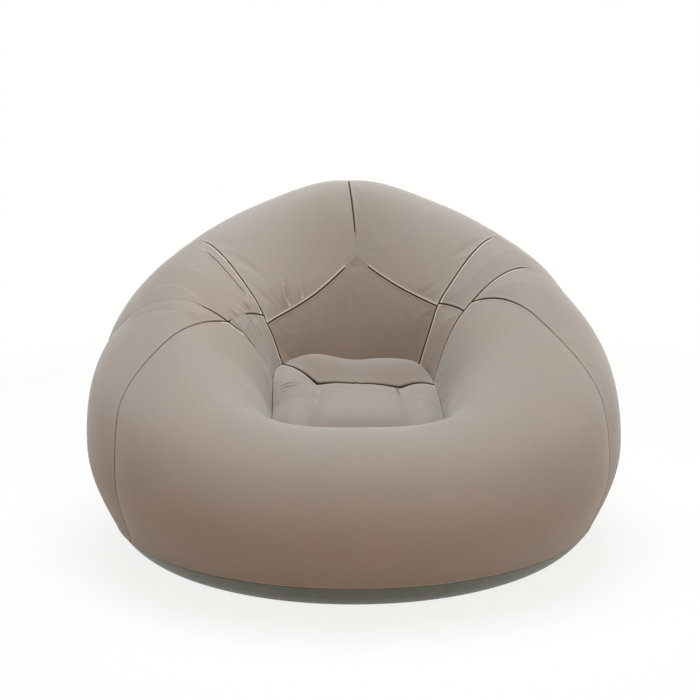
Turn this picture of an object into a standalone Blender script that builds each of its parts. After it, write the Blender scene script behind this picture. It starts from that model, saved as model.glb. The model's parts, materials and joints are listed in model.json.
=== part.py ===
"""Inflatable lounge chair: flocked vinyl panels welded round one air chamber, with a deep bucket seat.

Metres, +Z up. The chair faces -Y, left is -X, and the origin is on the floor under the middle of the chair.
The skin is a loft: profiles stand on azimuths round the seat (0 is the front, 180 the back), and each
profile has stations from the base seam over the rim down to the seat seam. Weld seams are lines on that
skin, and each panel between them is a thin sheet with a weld flange turned into the air chamber.
"""

import math

import bmesh
import bpy
from mathutils import Matrix, Vector
from mathutils.geometry import delaunay_2d_cdt

# Overall sizes
WIDTH = 1.07
DEPTH = 1.04
HEIGHT = 0.69
FRONT_HEIGHT = 0.303
BASE_BAND = 0.062

# Seat well
SEAT_WIDTH = 0.344
SEAT_DEPTH = 0.38
SEAT_HEIGHT = 0.265
SEAT_CORNER_POWER = 5.0
REAR_LOBE_WIDTH = 0.173
REAR_LOBE_DEPTH = 0.095
REAR_LOBE_RISE = 0.045
REAR_LOBE_EDGE = 0.05
REAR_LOBE_DIP = 0.008
DIP_SPREAD = 0.035
FRONT_LOBE_RISE = 0.034
FRONT_LOBE_EDGE = 0.06
FRONT_SEAM_ARCH = 0.01
DIAGONAL_ARCH = 0.012
ARCH_REACH = 0.12
VALLEY_SPREAD = 0.02
VALLEY_DEPTH = 0.014
VALLEY_END_AZIMUTH = 30.5

# Sheet and welds
SHEET = 0.0004
BASE_SHEET = 0.0005
CLEARANCE = 0.0003
WELD_FLANGE = 0.007
PANEL_PUFF = 0.009
PUFF_POWER = 0.4
FOLD_SAG = 0.00012

# Profile stations: base seam 0, belly 1, shoulder 2, rim 3, inner wall 4, seat seam 5
BASE_SEAM = 0.0
SEAT_SEAM = 5.0
AZIMUTH_STEP = 30.0

# One value each 30 degrees, front to back. Radii are shares of the chair's span at that azimuth.
BELLY_SPAN_SHARES = [0.468, 0.473, 0.484, 0.492, 0.507, 0.521, 0.526]
SEAM_BELLY_SHARES = [0.933, 0.93, 0.925, 0.918, 0.91, 0.905, 0.905]
SHOULDER_BELLY_SHARES = [0.878, 0.88, 0.913, 0.947, 0.958, 0.927, 0.909]
RIM_BELLY_SHARES = [0.653, 0.65, 0.654, 0.694, 0.743, 0.718, 0.655]
INNER_RIM_SHARES = [0.385, 0.34, 0.25, 0.34, 0.357, 0.375, 0.44]
RIM_RISE_SHARES = [0.0, 0.013, 0.118, 0.328, 0.639, 0.852, 1.0]
BELLY_HEIGHT_SHARES = [0.516, 0.524, 0.543, 0.512, 0.418, 0.375, 0.348]
SHOULDER_HEIGHT_SHARES = [0.855, 0.857, 0.857, 0.837, 0.818, 0.766, 0.739]
INNER_HEIGHT_SHARES = [0.64, 0.6, 0.6, 0.56, 0.571, 0.556, 0.53]
SEAT_HEIGHT_SHARES = [1.0, 0.98, 0.96, 0.985, 1.11, 1.17, 1.15]
FOOT_SHARE = 0.71
BAND_RADIUS_SHARE = 0.57
BAND_HEIGHT_SHARE = 0.25
FRONT_PUFF_SHARE = 0.6

# Seam lines: azimuths at even steps from the base seam up to where seams meet, and on to the seat seam
ARM_MEET = 3.85
BACK_MEET = 4.15
APEX_DROP = 0.31
ARM_SEAM = [66.0, 63.5, 65.5, 73.5, 90.0, 117.0]
SHOULDER_SEAM = [110.0, 108.0, 107.0, 107.0, 110.0, 117.0]
BACK_SEAM = [129.0, 127.0, 126.0, 127.0, 129.0, 135.5]
SHOULDER_SEAM_INSIDE = [117.0, 118.5, 120.0, 122.0]
BACK_SEAM_INSIDE = [135.5, 136.0, 136.5, 136.0]

# Mesh counts
OUTER_ROWS = 14
INNER_ROWS = 5
FRONT_COLUMNS = 24
SIDE_COLUMNS = 5
SHOULDER_COLUMNS = 3
REAR_COLUMNS = 6
DIAGONAL_STEPS = 4
SEAT_PITCH_SHARE = 0.085
GRID_GAP_SHARE = 0.55
ROUND_STEPS = 40
ROUND_EDGE_ANGLE = 30.0

# Valve, on the left rear panel
VALVE_ACROSS_SHARE = 0.4
VALVE_UP_SHARE = 0.18
BORE_RADIUS = 0.017
NECK_WALL = 0.003
NECK_DEPTH = 0.02
NECK_PROUD = 0.0012
COLLAR_WIDTH = 0.006
COLLAR_THICKNESS = 0.0012
PLUG_WALL = 0.0022
PLUG_DEPTH = 0.0165
PLUG_RIM = 0.0235
PLUG_PLATE = 0.0016
PORT_RADIUS = 0.010
PORT_WALL = 0.0018
PORT_DEPTH = 0.005
SPIDER_PLATE = 0.0015
WINDOW_RADIUS = 0.0036
WINDOW_CIRCLE = 0.0073
WINDOWS = 4
FLAP_RADIUS = 0.0135
FLAP_THICKNESS = 0.001
FLAP_TRAVEL = 0.003
STEM_RADIUS = 0.0015
STEM_HEAD_RADIUS = 0.0026
STEM_HEAD = 0.0016
CAP_RADIUS = 0.0125
CAP_PLATE = 0.0012
SPIGOT_DEPTH = 0.004
SPIGOT_TAPER = 0.0008
HINGE_REACH = 0.0188
HINGE_WIDTH = 0.008
HINGE_ROOT = 0.0028
TAB_REACH = 0.0165
TAB_WIDTH = 0.009
OVERRUN = 0.004

# Steps that skin_normal takes along a profile, in stations, and round the chair, in degrees
NORMAL_STEP = 0.01
NORMAL_TURN = 0.5
SEAM_ORDER = Vector((1.3, 0.7, 3.0))


def empty_scene():
    for thing in list(bpy.data.objects):
        bpy.data.objects.remove(thing, do_unlink=True)


def new_collection(name, hidden=False):
    collection = bpy.data.collections.new(name)
    collection.hide_render = hidden
    bpy.context.scene.collection.children.link(collection)
    return collection


def new_material(name, colour, roughness, sheen=0.0):
    material = bpy.data.materials.new(name)
    material.use_nodes = True
    shader = material.node_tree.nodes["Principled BSDF"]
    shader.inputs["Base Color"].default_value = (*colour, 1.0)
    shader.inputs["Roughness"].default_value = roughness
    shader.inputs["Metallic"].default_value = 0.0
    shader.inputs["Sheen Weight"].default_value = sheen
    material.diffuse_color = (*colour, 1.0)
    return material


def blend(a, b, share):
    return a + (b - a) * share


def curve_through(before, start, end, after, share):
    """A point between start and end on the even Catmull-Rom curve through all four values."""
    slope_in = (end - before) / 2
    slope_out = (after - start) / 2
    s2 = share * share
    s3 = s2 * share
    return (
        (2 * s3 - 3 * s2 + 1) * start
        + (s3 - 2 * s2 + share) * slope_in
        + (3 * s2 - 2 * s3) * end
        + (s3 - s2) * slope_out
    )


def along(values, share):
    """The smooth value at a share of the way through evenly spaced values."""
    place = min(max(share, 0.0), 1.0) * (len(values) - 1)
    i = min(int(place), len(values) - 2)
    before = values[i - 1] if i > 0 else 2 * values[0] - values[1]
    after = values[i + 2] if i + 2 < len(values) else 2 * values[-1] - values[-2]
    return curve_through(before, values[i], values[i + 1], after, place - i)


def round_chair(shares, azimuth):
    """The smooth value at an azimuth, the same on the left and the right."""
    ring = shares + shares[-2:0:-1]
    place = (azimuth % 360.0) / AZIMUTH_STEP
    i = int(place)
    near = [ring[(i + k) % len(ring)] for k in (-1, 0, 1, 2)]
    return curve_through(*near, place - i)


# The seat's centre, set so that the middle of the puffed chair is at Y = 0
CENTRE_Y = (DEPTH * (BELLY_SPAN_SHARES[0] - BELLY_SPAN_SHARES[-1]) + PANEL_PUFF * FRONT_PUFF_SHARE) / 2


def at_azimuth(azimuth, radius, height):
    turn = math.radians(azimuth)
    return Vector((radius * math.sin(turn), CENTRE_Y - radius * math.cos(turn), height))


def seat_radius(azimuth):
    turn = math.radians(azimuth)
    across = abs(math.sin(turn) * 2 / SEAT_WIDTH) ** SEAT_CORNER_POWER
    deep = abs(math.cos(turn) * 2 / SEAT_DEPTH) ** SEAT_CORNER_POWER
    return (across + deep) ** (-1 / SEAT_CORNER_POWER)


def seat_edge_height(azimuth):
    return SEAT_HEIGHT * round_chair(SEAT_HEIGHT_SHARES, azimuth)


def stations(azimuth):
    """The profile's six stations at an azimuth, as (radius, height)."""
    turn = math.radians(azimuth)
    span = math.hypot(WIDTH * math.sin(turn), DEPTH * math.cos(turn))
    belly = span * round_chair(BELLY_SPAN_SHARES, azimuth)
    rim = belly * round_chair(RIM_BELLY_SHARES, azimuth)
    seat = seat_radius(azimuth)
    rim_height = blend(FRONT_HEIGHT, HEIGHT, round_chair(RIM_RISE_SHARES, azimuth))
    seat_height = seat_edge_height(azimuth)
    return [
        Vector((belly * round_chair(SEAM_BELLY_SHARES, azimuth), BASE_BAND)),
        Vector((belly, rim_height * round_chair(BELLY_HEIGHT_SHARES, azimuth))),
        Vector(
            (
                belly * round_chair(SHOULDER_BELLY_SHARES, azimuth),
                rim_height * round_chair(SHOULDER_HEIGHT_SHARES, azimuth),
            )
        ),
        Vector((rim, rim_height)),
        Vector(
            (
                blend(seat, rim, round_chair(INNER_RIM_SHARES, azimuth)),
                blend(seat_height, rim_height, round_chair(INNER_HEIGHT_SHARES, azimuth)),
            )
        ),
        Vector((seat, seat_height)),
    ]


def skin(azimuth, station):
    """The smooth skin at an azimuth and a profile station, before the panels puff out."""
    points = stations(azimuth)
    points = [2 * points[0] - points[1]] + points + [2 * points[-1] - points[-2]]
    i = min(int(station), len(points) - 4)
    p0, p1, p2, p3 = points[i : i + 4]
    d1, d2, d3 = (math.sqrt((b - a).length) for a, b in ((p0, p1), (p1, p2), (p2, p3)))
    m1 = ((p1 - p0) / d1 - (p2 - p0) / (d1 + d2) + (p2 - p1) / d2) * d2
    m2 = ((p2 - p1) / d2 - (p3 - p1) / (d2 + d3) + (p3 - p2) / d3) * d2
    s = station - i
    place = (
        p1 * (2 * s**3 - 3 * s**2 + 1)
        + m1 * (s**3 - 2 * s**2 + s)
        + p2 * (3 * s**2 - 2 * s**3)
        + m2 * (s**3 - s**2)
    )
    return at_azimuth(azimuth, place.x, place.y)


def skin_normal(azimuth, station):
    low = max(station - NORMAL_STEP, BASE_SEAM)
    high = min(station + NORMAL_STEP, SEAT_SEAM)
    up = skin(azimuth, high) - skin(azimuth, low)
    around = skin(azimuth + NORMAL_TURN, station) - skin(azimuth - NORMAL_TURN, station)
    return around.cross(up).normalized()


def into_chamber(azimuth, station):
    """The way a weld flange turns at a place on a seam."""
    if station <= BASE_SEAM:
        turn = math.radians(azimuth)
        return Vector((-math.sin(turn), math.cos(turn), 0.0))
    if station >= SEAT_SEAM:
        return Vector((0.0, 0.0, -1.0))
    return -skin_normal(azimuth, station)


def top_station(share):
    """Where the outer panels end behind the arm seam's meeting point, from the back seam to the middle."""
    return BACK_MEET - APEX_DROP * share * share


def puffed(azimuth, station, across, up):
    """A panel's point, raised from the smooth skin by shares across and up the panel."""
    raised = max(math.sin(math.pi * across) * math.sin(math.pi * up), 0.0)
    out = skin_normal(azimuth, station)
    return skin(azimuth, station) + out * PANEL_PUFF * raised**PUFF_POWER, into_chamber(azimuth, station)


def grid_mesh(rows):
    """A sheet through rows of (point, flange direction). Rows that end in one point are merged there."""
    sheet = bmesh.new()
    into = sheet.verts.layers.float_vector.new("into")
    made = []
    for row in rows:
        made.append([])
        for place, direction in row:
            vert = sheet.verts.new(place)
            vert[into] = direction
            made[-1].append(vert)
    for low, high in zip(made, made[1:]):
        for i in range(len(low) - 1):
            sheet.faces.new((low[i], low[i + 1], high[i + 1], high[i]))
    bmesh.ops.remove_doubles(sheet, verts=sheet.verts, dist=CLEARANCE / 10)
    return sheet


def add_weld_flange(sheet):
    """Draws each border in by half the clearance and turns a flange from it into the chamber."""
    into = sheet.verts.layers.float_vector["into"]
    sheet.normal_update()
    inward = {}
    runs = []
    for edge in sheet.edges:
        if not edge.is_boundary:
            continue
        loop = edge.link_loops[0]
        start, end = loop.vert, loop.link_loop_next.vert
        side = loop.face.normal.cross((end.co - start.co).normalized())
        inward.setdefault(start, []).append(side)
        inward.setdefault(end, []).append(side)
        runs.append((start, end))
    lip = {}
    for vert, (a, b) in inward.items():
        vert.co += (a + b) * (CLEARANCE / 2 / (1 + a.dot(b)))
        lip[vert] = sheet.verts.new(vert.co + Vector(vert[into]) * WELD_FLANGE)
    for start, end in runs:
        # Both panels of a seam split the flange from the same end, so that their flanges stay parallel.
        if seam_key(start.co) > seam_key(end.co):
            sheet.faces.new((end, start, lip[end]))
            sheet.faces.new((start, lip[start], lip[end]))
        else:
            sheet.faces.new((end, start, lip[start]))
            sheet.faces.new((end, lip[start], lip[end]))


def seam_key(place):
    """A number that grows along every seam, the same on the left and the right."""
    return SEAM_ORDER.dot(Vector((abs(place.x), place.y, place.z)))


def add_object(name, sheet, collection, material):
    sheet.normal_update()
    mesh = bpy.data.meshes.new(name)
    sheet.to_mesh(mesh)
    sheet.free()
    mesh.materials.append(material)
    mesh.shade_smooth()
    thing = bpy.data.objects.new(name, mesh)
    collection.objects.link(thing)
    return thing


def thicken(thing, thickness, offset=-1.0):
    modifier = thing.modifiers.new("sheet", "SOLIDIFY")
    modifier.thickness = thickness
    modifier.offset = offset
    modifier.use_even_offset = True
    return modifier


def cut(thing, cutter):
    modifier = thing.modifiers.new("cut", "BOOLEAN")
    modifier.operation = "DIFFERENCE"
    modifier.object = cutter
    return modifier


def mirrored(rows, side):
    """Rows for the left side from rows that were made on the right, in the order that keeps faces outward."""
    if side > 0:
        return rows
    flip = Vector((-1.0, 1.0, 1.0))
    return [[(place * flip, way * flip) for place, way in reversed(row)] for row in rows]


def front_rows():
    rows = []
    total = OUTER_ROWS + INNER_ROWS
    for j in range(total + 1):
        if j <= OUTER_ROWS:
            station = ARM_MEET * j / OUTER_ROWS
            edge = along(ARM_SEAM, j / OUTER_ROWS)
        else:
            share = (j - OUTER_ROWS) / INNER_ROWS
            station = blend(ARM_MEET, SEAT_SEAM, share)
            edge = along(SHOULDER_SEAM_INSIDE, share)
        rows.append([])
        for i in range(FRONT_COLUMNS + 1):
            share = i / FRONT_COLUMNS
            rows[-1].append(puffed(blend(-edge, edge, share), station, share, j / total))
    return rows


def side_rows():
    rows = []
    for j in range(OUTER_ROWS + 1):
        up = j / OUTER_ROWS
        low, high = along(ARM_SEAM, up), along(SHOULDER_SEAM, up)
        rows.append([])
        for i in range(SIDE_COLUMNS + 1):
            share = i / SIDE_COLUMNS
            rows[-1].append(puffed(blend(low, high, share), ARM_MEET * up, share, up))
    return rows


def shoulder_rows():
    rows = []
    for j in range(OUTER_ROWS + 1):
        up = j / OUTER_ROWS
        low, high = along(SHOULDER_SEAM, up), along(BACK_SEAM, up)
        rows.append([])
        for i in range(SHOULDER_COLUMNS + 1):
            share = i / SHOULDER_COLUMNS
            station = up * blend(ARM_MEET, BACK_MEET, share)
            rows[-1].append(puffed(blend(low, high, share), station, share, up))
    return rows


def gusset_rows():
    rows = []
    for j in range(INNER_ROWS + 1):
        up = j / INNER_ROWS
        low, high = along(SHOULDER_SEAM_INSIDE, up), along(BACK_SEAM_INSIDE, up)
        rows.append([])
        for i in range(SHOULDER_COLUMNS + 1):
            share = i / SHOULDER_COLUMNS
            station = blend(blend(ARM_MEET, BACK_MEET, share), SEAT_SEAM, up)
            rows[-1].append(puffed(blend(low, high, share), station, share, up))
    return rows


def rear_rows():
    rows = []
    for j in range(OUTER_ROWS + 1):
        up = j / OUTER_ROWS
        edge = along(BACK_SEAM, up)
        rows.append([])
        for i in range(REAR_COLUMNS + 1):
            share = i / REAR_COLUMNS
            station = up * top_station(share)
            rows[-1].append(puffed(blend(edge, 180.0, share), station, share, up))
    return rows


def backrest_rows():
    rows = []
    columns = 2 * REAR_COLUMNS
    for j in range(INNER_ROWS + 1):
        up = j / INNER_ROWS
        edge = along(BACK_SEAM_INSIDE, up)
        rows.append([])
        for i in range(columns + 1):
            share = i / columns
            station = blend(top_station(1 - abs(2 * share - 1)), SEAT_SEAM, up)
            rows[-1].append(puffed(blend(edge, 360.0 - edge, share), station, share, up))
    return rows


def seat_ring(low, high, columns):
    """Seat seam points between two azimuths, the same ones that the wall panels end in."""
    return [skin(blend(low, high, i / columns), SEAT_SEAM) for i in range(columns + 1)]


def lobe_corner(side):
    y = CENTRE_Y + SEAT_DEPTH / 2 - REAR_LOBE_DEPTH
    x = side * REAR_LOBE_WIDTH / 2
    return Vector((x, y, seat_base(x, y)))


def seat_base(x, y):
    """The seat's height before its lobes rise: its edge's height, evened out towards the middle."""
    away = Vector((x, CENTRE_Y - y))
    middle = SEAT_HEIGHT * sum(SEAT_HEIGHT_SHARES) / len(SEAT_HEIGHT_SHARES)
    if away.length == 0:
        return middle
    azimuth = math.degrees(math.atan2(away.x, away.y))
    share = away.length / seat_radius(azimuth)
    return blend(middle, seat_edge_height(azimuth), share * share)


def distance_to_line(point, start, end):
    run = end - start
    share = min(max((point - start).dot(run) / run.dot(run), 0.0), 1.0)
    return (point - start - run * share).length


def line_distance(point, line):
    return min(distance_to_line(point, a, b) for a, b in zip(line, line[1:]))


def dome(distance, edge):
    """A cushion's rise, from 0 on its seam to 1 at the edge distance and beyond."""
    share = min(distance / edge, 1.0)
    return math.sqrt(1 - (1 - share) ** 2)


def arched(start, end, arch, steps):
    """A line of points from start to end, lifted by the arch in its middle."""
    line = [start.lerp(end, i / steps) for i in range(steps + 1)]
    for i, point in enumerate(line):
        point.z += arch * math.sin(math.pi * i / steps)
    return line


def diagonal(side):
    """The seam from the seat's rear corner to the rear lobe's front corner."""
    corner = skin(side * BACK_SEAM_INSIDE[-1], SEAT_SEAM)
    return arched(corner, lobe_corner(side), DIAGONAL_ARCH, DIAGONAL_STEPS)


def front_seam():
    return arched(lobe_corner(-1), lobe_corner(1), FRONT_SEAM_ARCH, 2 * DIAGONAL_STEPS)


def arch_rise(point):
    """What the arched seams lift beside them, less and less over their reach."""
    rise = 0.0
    seams = [(front_seam(), FRONT_SEAM_ARCH), (diagonal(-1), DIAGONAL_ARCH), (diagonal(1), DIAGONAL_ARCH)]
    for line, arch in seams:
        start, run = line[0].xy, line[-1].xy - line[0].xy
        share = min(max((point - start).dot(run) / run.dot(run), 0.0), 1.0)
        away = (point - start - run * share).length
        rise += arch * math.sin(math.pi * share) * (1 - dome(away, ARCH_REACH))
    return rise


def valley(side):
    """The soft fold between the middle and a side lobe, from the rear lobe's corner to the front edge."""
    start = lobe_corner(side).xy
    end = skin(side * VALLEY_END_AZIMUTH, SEAT_SEAM).xy
    return [start.lerp(end, i / (DIAGONAL_STEPS + 2)) for i in range(DIAGONAL_STEPS + 3)]


def front_lobe_height(x, y, outline, valleys):
    point = Vector((x, y))
    rise = FRONT_LOBE_RISE * dome(line_distance(point, outline), FRONT_LOBE_EDGE)
    fold = min(line_distance(point, line) for line in valleys)
    rise -= VALLEY_DEPTH * math.exp(-((fold / VALLEY_SPREAD) ** 2)) * rise / FRONT_LOBE_RISE
    return seat_base(x, y) + rise + arch_rise(point)


def rear_lobe_height(x, y, outline):
    point = Vector((x, y))
    rise = REAR_LOBE_RISE - REAR_LOBE_DIP * math.exp(-((x / DIP_SPREAD) ** 2))
    rise *= dome(line_distance(point, outline), REAR_LOBE_EDGE)
    return seat_base(x, y) + rise + arch_rise(point)


def filled_sheet(outline, folds, height):
    """A sheet over an outline of 3-D points, with edges along the folds and a grid of points between."""
    flat = [point.xy for point in outline]
    edges = [(i, (i + 1) % len(flat)) for i in range(len(flat))]
    for line in folds:
        first = len(flat)
        inside = line[1:-1]
        flat.extend(inside)
        ends = [nearest(flat[: len(outline)], line[0]), nearest(flat[: len(outline)], line[-1])]
        chain = [ends[0]] + list(range(first, len(flat))) + [ends[1]]
        edges.extend(zip(chain, chain[1:]))
    fixed = len(flat)
    pitch = SEAT_WIDTH * SEAT_PITCH_SHARE
    low_x, high_x = min(p.x for p in flat), max(p.x for p in flat)
    low_y, high_y = min(p.y for p in flat), max(p.y for p in flat)
    border = flat[: len(outline)] + [flat[0]]
    across = round((high_x - low_x) / pitch)
    deep = max(round((high_y - low_y) / pitch), 1)
    for i in range(1, across):
        for j in range(1, deep):
            point = Vector((blend(low_x, high_x, i / across), blend(low_y, high_y, j / deep)))
            away = min(line_distance(point, line) for line in [border] + folds)
            if away > pitch * GRID_GAP_SHARE:
                flat.append(point)
    ring = [list(range(len(outline)))]
    points, _, faces, origins, _, _ = delaunay_2d_cdt(flat, edges, ring, 1, CLEARANCE / 10)
    sheet = bmesh.new()
    into = sheet.verts.layers.float_vector.new("into")
    made = []
    for point, origin in zip(points, origins):
        first = min(origin)
        place = outline[first] if first < len(outline) else Vector((*point, height(point.x, point.y)))
        vert = sheet.verts.new(place)
        vert[into] = Vector((0.0, 0.0, -1.0))
        made.append(vert)
    for face in faces:
        sheet.faces.new([made[i] for i in face])
    sheet.normal_update()
    if sum(face.normal.z for face in sheet.faces) < 0:
        bmesh.ops.reverse_faces(sheet, faces=sheet.faces)
    return sheet


def nearest(points, place):
    return min(range(len(points)), key=lambda i: (points[i] - place).length)


def seat_front_outline():
    edge, back = SHOULDER_SEAM_INSIDE[-1], BACK_SEAM_INSIDE[-1]
    ring = seat_ring(-back, -edge, SHOULDER_COLUMNS)
    ring += seat_ring(-edge, edge, FRONT_COLUMNS)[1:]
    ring += seat_ring(edge, back, SHOULDER_COLUMNS)[1:]
    inner = diagonal(1)[1:] + front_seam()[::-1][1:] + diagonal(-1)[::-1][1:-1]
    return ring + inner


def seat_rear_outline():
    back = BACK_SEAM_INSIDE[-1]
    ring = seat_ring(back, 360.0 - back, 2 * REAR_COLUMNS)
    return ring + diagonal(-1)[1:] + front_seam()[1:] + diagonal(1)[::-1][1:-1]


def base_sheet():
    """The base: a low band under the base seam, curved in to a flat foot."""
    columns = []
    seams = [0.0, ARM_SEAM[0], SHOULDER_SEAM[0], BACK_SEAM[0], 180.0]
    counts = [FRONT_COLUMNS // 2, SIDE_COLUMNS, SHOULDER_COLUMNS, REAR_COLUMNS]
    for low, high, count in zip(seams, seams[1:], counts):
        columns += [blend(low, high, i / count) for i in range(count)]
    azimuths = columns + [360.0 - azimuth for azimuth in [180.0] + columns[:0:-1]]
    sheet = bmesh.new()
    into = sheet.verts.layers.float_vector.new("into")
    rings = []
    for level in range(3):
        ring = []
        for azimuth in azimuths:
            seam, belly = stations(azimuth)[:2]
            foot = belly.x * FOOT_SHARE
            radius = (foot, blend(foot, seam.x, BAND_RADIUS_SHARE), seam.x)[level]
            height = (0.0, seam.y * BAND_HEIGHT_SHARE, seam.y)[level]
            vert = sheet.verts.new(at_azimuth(azimuth, radius, height))
            vert[into] = into_chamber(azimuth, BASE_SEAM)
            ring.append(vert)
        rings.append(ring)
    for low, high in zip(rings, rings[1:]):
        for i in range(len(low)):
            k = (i + 1) % len(low)
            sheet.faces.new((low[i], low[k], high[k], high[i]))
    sheet.faces.new(rings[0][::-1])
    return sheet


def web_sheet(line):
    """A vertical web under a line of points, down to the base."""
    floor = BASE_SHEET + CLEARANCE
    down = Vector((0.0, 0.0, -1.0))
    return grid_mesh([[(Vector((p.x, p.y, floor)), down) for p in line], [(p, down) for p in line]])


def rear_web_line():
    drop = Vector((0.0, 0.0, -(WELD_FLANGE + CLEARANCE)))
    line = front_seam()
    trim = (line[1] - line[0]).normalized() * (SHEET + CLEARANCE)
    line[0] += trim
    line[-1] -= trim
    return [point + drop for point in line]


def side_web_line(side, height):
    """The web's top edge: the fold's own points, lowered, and ended short of the seat's flanges."""
    line = [Vector((*point, height(point.x, point.y))) for point in valley(side)]
    line[0].z = lobe_corner(side).z
    line[-1].z = skin(side * VALLEY_END_AZIMUTH, SEAT_SEAM).z
    short = 3 * (SHEET + CLEARANCE)
    line[0] = line[0].lerp(line[1], short / (line[1] - line[0]).length)
    line[-1] = line[-1].lerp(line[-2], short / (line[-1] - line[-2]).length)
    drop = Vector((0.0, 0.0, SHEET + FOLD_SAG + CLEARANCE))
    return [point - drop for point in line]


def turned(name, profile, collection, material, frame):
    """A solid of revolution about the valve's axis, from a closed profile of (radius, height)."""
    mesh = bpy.data.meshes.new(name)
    count = len(profile)
    edges = [(i, (i + 1) % count) for i in range(count)]
    mesh.from_pydata([(r, 0.0, z) for r, z in profile], edges, [])
    thing = bpy.data.objects.new(name, mesh)
    collection.objects.link(thing)
    thing.matrix_world = frame
    screw = thing.modifiers.new("turn", "SCREW")
    screw.axis = "Z"
    screw.steps = ROUND_STEPS
    screw.render_steps = ROUND_STEPS
    screw.use_merge_vertices = True
    screw.merge_threshold = CLEARANCE / 10
    screw.use_normal_calculate = False
    mesh.materials.append(material)
    return thing


def solid_from(thing, name):
    """A plain mesh object of an object's evaluated shape, welded, in place of it."""
    graph = bpy.context.evaluated_depsgraph_get()
    mesh = bpy.data.meshes.new_from_object(thing.evaluated_get(graph))
    welded = bmesh.new()
    welded.from_mesh(mesh)
    bmesh.ops.remove_doubles(welded, verts=welded.verts, dist=CLEARANCE / 100)
    bmesh.ops.recalc_face_normals(welded, faces=welded.faces)
    welded.to_mesh(mesh)
    welded.free()
    mesh.shade_smooth()
    mesh.set_sharp_from_angle(angle=math.radians(ROUND_EDGE_ANGLE))
    solid = bpy.data.objects.new(name, mesh)
    solid.matrix_world = thing.matrix_world.copy()
    for collection in thing.users_collection:
        collection.objects.link(solid)
    bpy.data.objects.remove(thing, do_unlink=True)
    mesh.name = name
    return solid


def cylinder(name, radius, low, high, collection, frame, centre=(0.0, 0.0)):
    shape = bmesh.new()
    bmesh.ops.create_cone(
        shape, cap_ends=True, segments=ROUND_STEPS, radius1=radius, radius2=radius, depth=high - low
    )
    bmesh.ops.translate(shape, verts=shape.verts, vec=(*centre, (low + high) / 2))
    mesh = bpy.data.meshes.new(name)
    shape.to_mesh(mesh)
    shape.free()
    thing = bpy.data.objects.new(name, mesh)
    thing.matrix_world = frame
    thing.display_type = "WIRE"
    thing.hide_render = True
    collection.objects.link(thing)
    return thing


def block(name, low, high, collection, frame):
    """A box between two corners in the valve's own axes, kept as a helper for a Boolean."""
    shape = bmesh.new()
    bmesh.ops.create_cube(shape, size=1.0)
    low, high = Vector(low), Vector(high)
    for vert in shape.verts:
        vert.co = (low + high) / 2 + vert.co * (high - low)
    mesh = bpy.data.meshes.new(name)
    shape.to_mesh(mesh)
    shape.free()
    thing = bpy.data.objects.new(name, mesh)
    thing.matrix_world = frame
    thing.display_type = "WIRE"
    thing.hide_render = True
    collection.objects.link(thing)
    return thing


def join(thing, helper):
    modifier = thing.modifiers.new("join", "BOOLEAN")
    modifier.operation = "UNION"
    modifier.object = helper
    return modifier


def valve_cell():
    """The cell of the left rear panel that the valve sits in, as its first column and row."""
    return int(VALVE_ACROSS_SHARE * REAR_COLUMNS), int(VALVE_UP_SHARE * OUTER_ROWS)


def valve_frame(rows):
    """The valve's place: the middle of its cell, facing out, with +Y towards the floor."""
    column, row = valve_cell()
    corners = [rows[row][column][0], rows[row][column + 1][0], rows[row + 1][column + 1][0], rows[row + 1][column][0]]
    centre = sum(corners, Vector()) / 4
    out = (corners[2] - corners[0]).cross(corners[3] - corners[1]).normalized()
    down = (corners[0] + corners[1] - corners[2] - corners[3]).normalized()
    down = (down - out * down.dot(out)).normalized()
    side = down.cross(out)
    frame = Matrix((side, down, out)).transposed().to_4x4()
    frame.translation = centre
    return frame


def flatten_valve_cell(rows, frame):
    """Moves the cell's corners onto the plane that the valve's collar lies under."""
    column, row = valve_cell()
    out = frame.col[2].xyz
    for j in (row, row + 1):
        for i in (column, column + 1):
            place, way = rows[j][i]
            rows[j][i] = (place - out * (place - frame.translation).dot(out), way)


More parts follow.
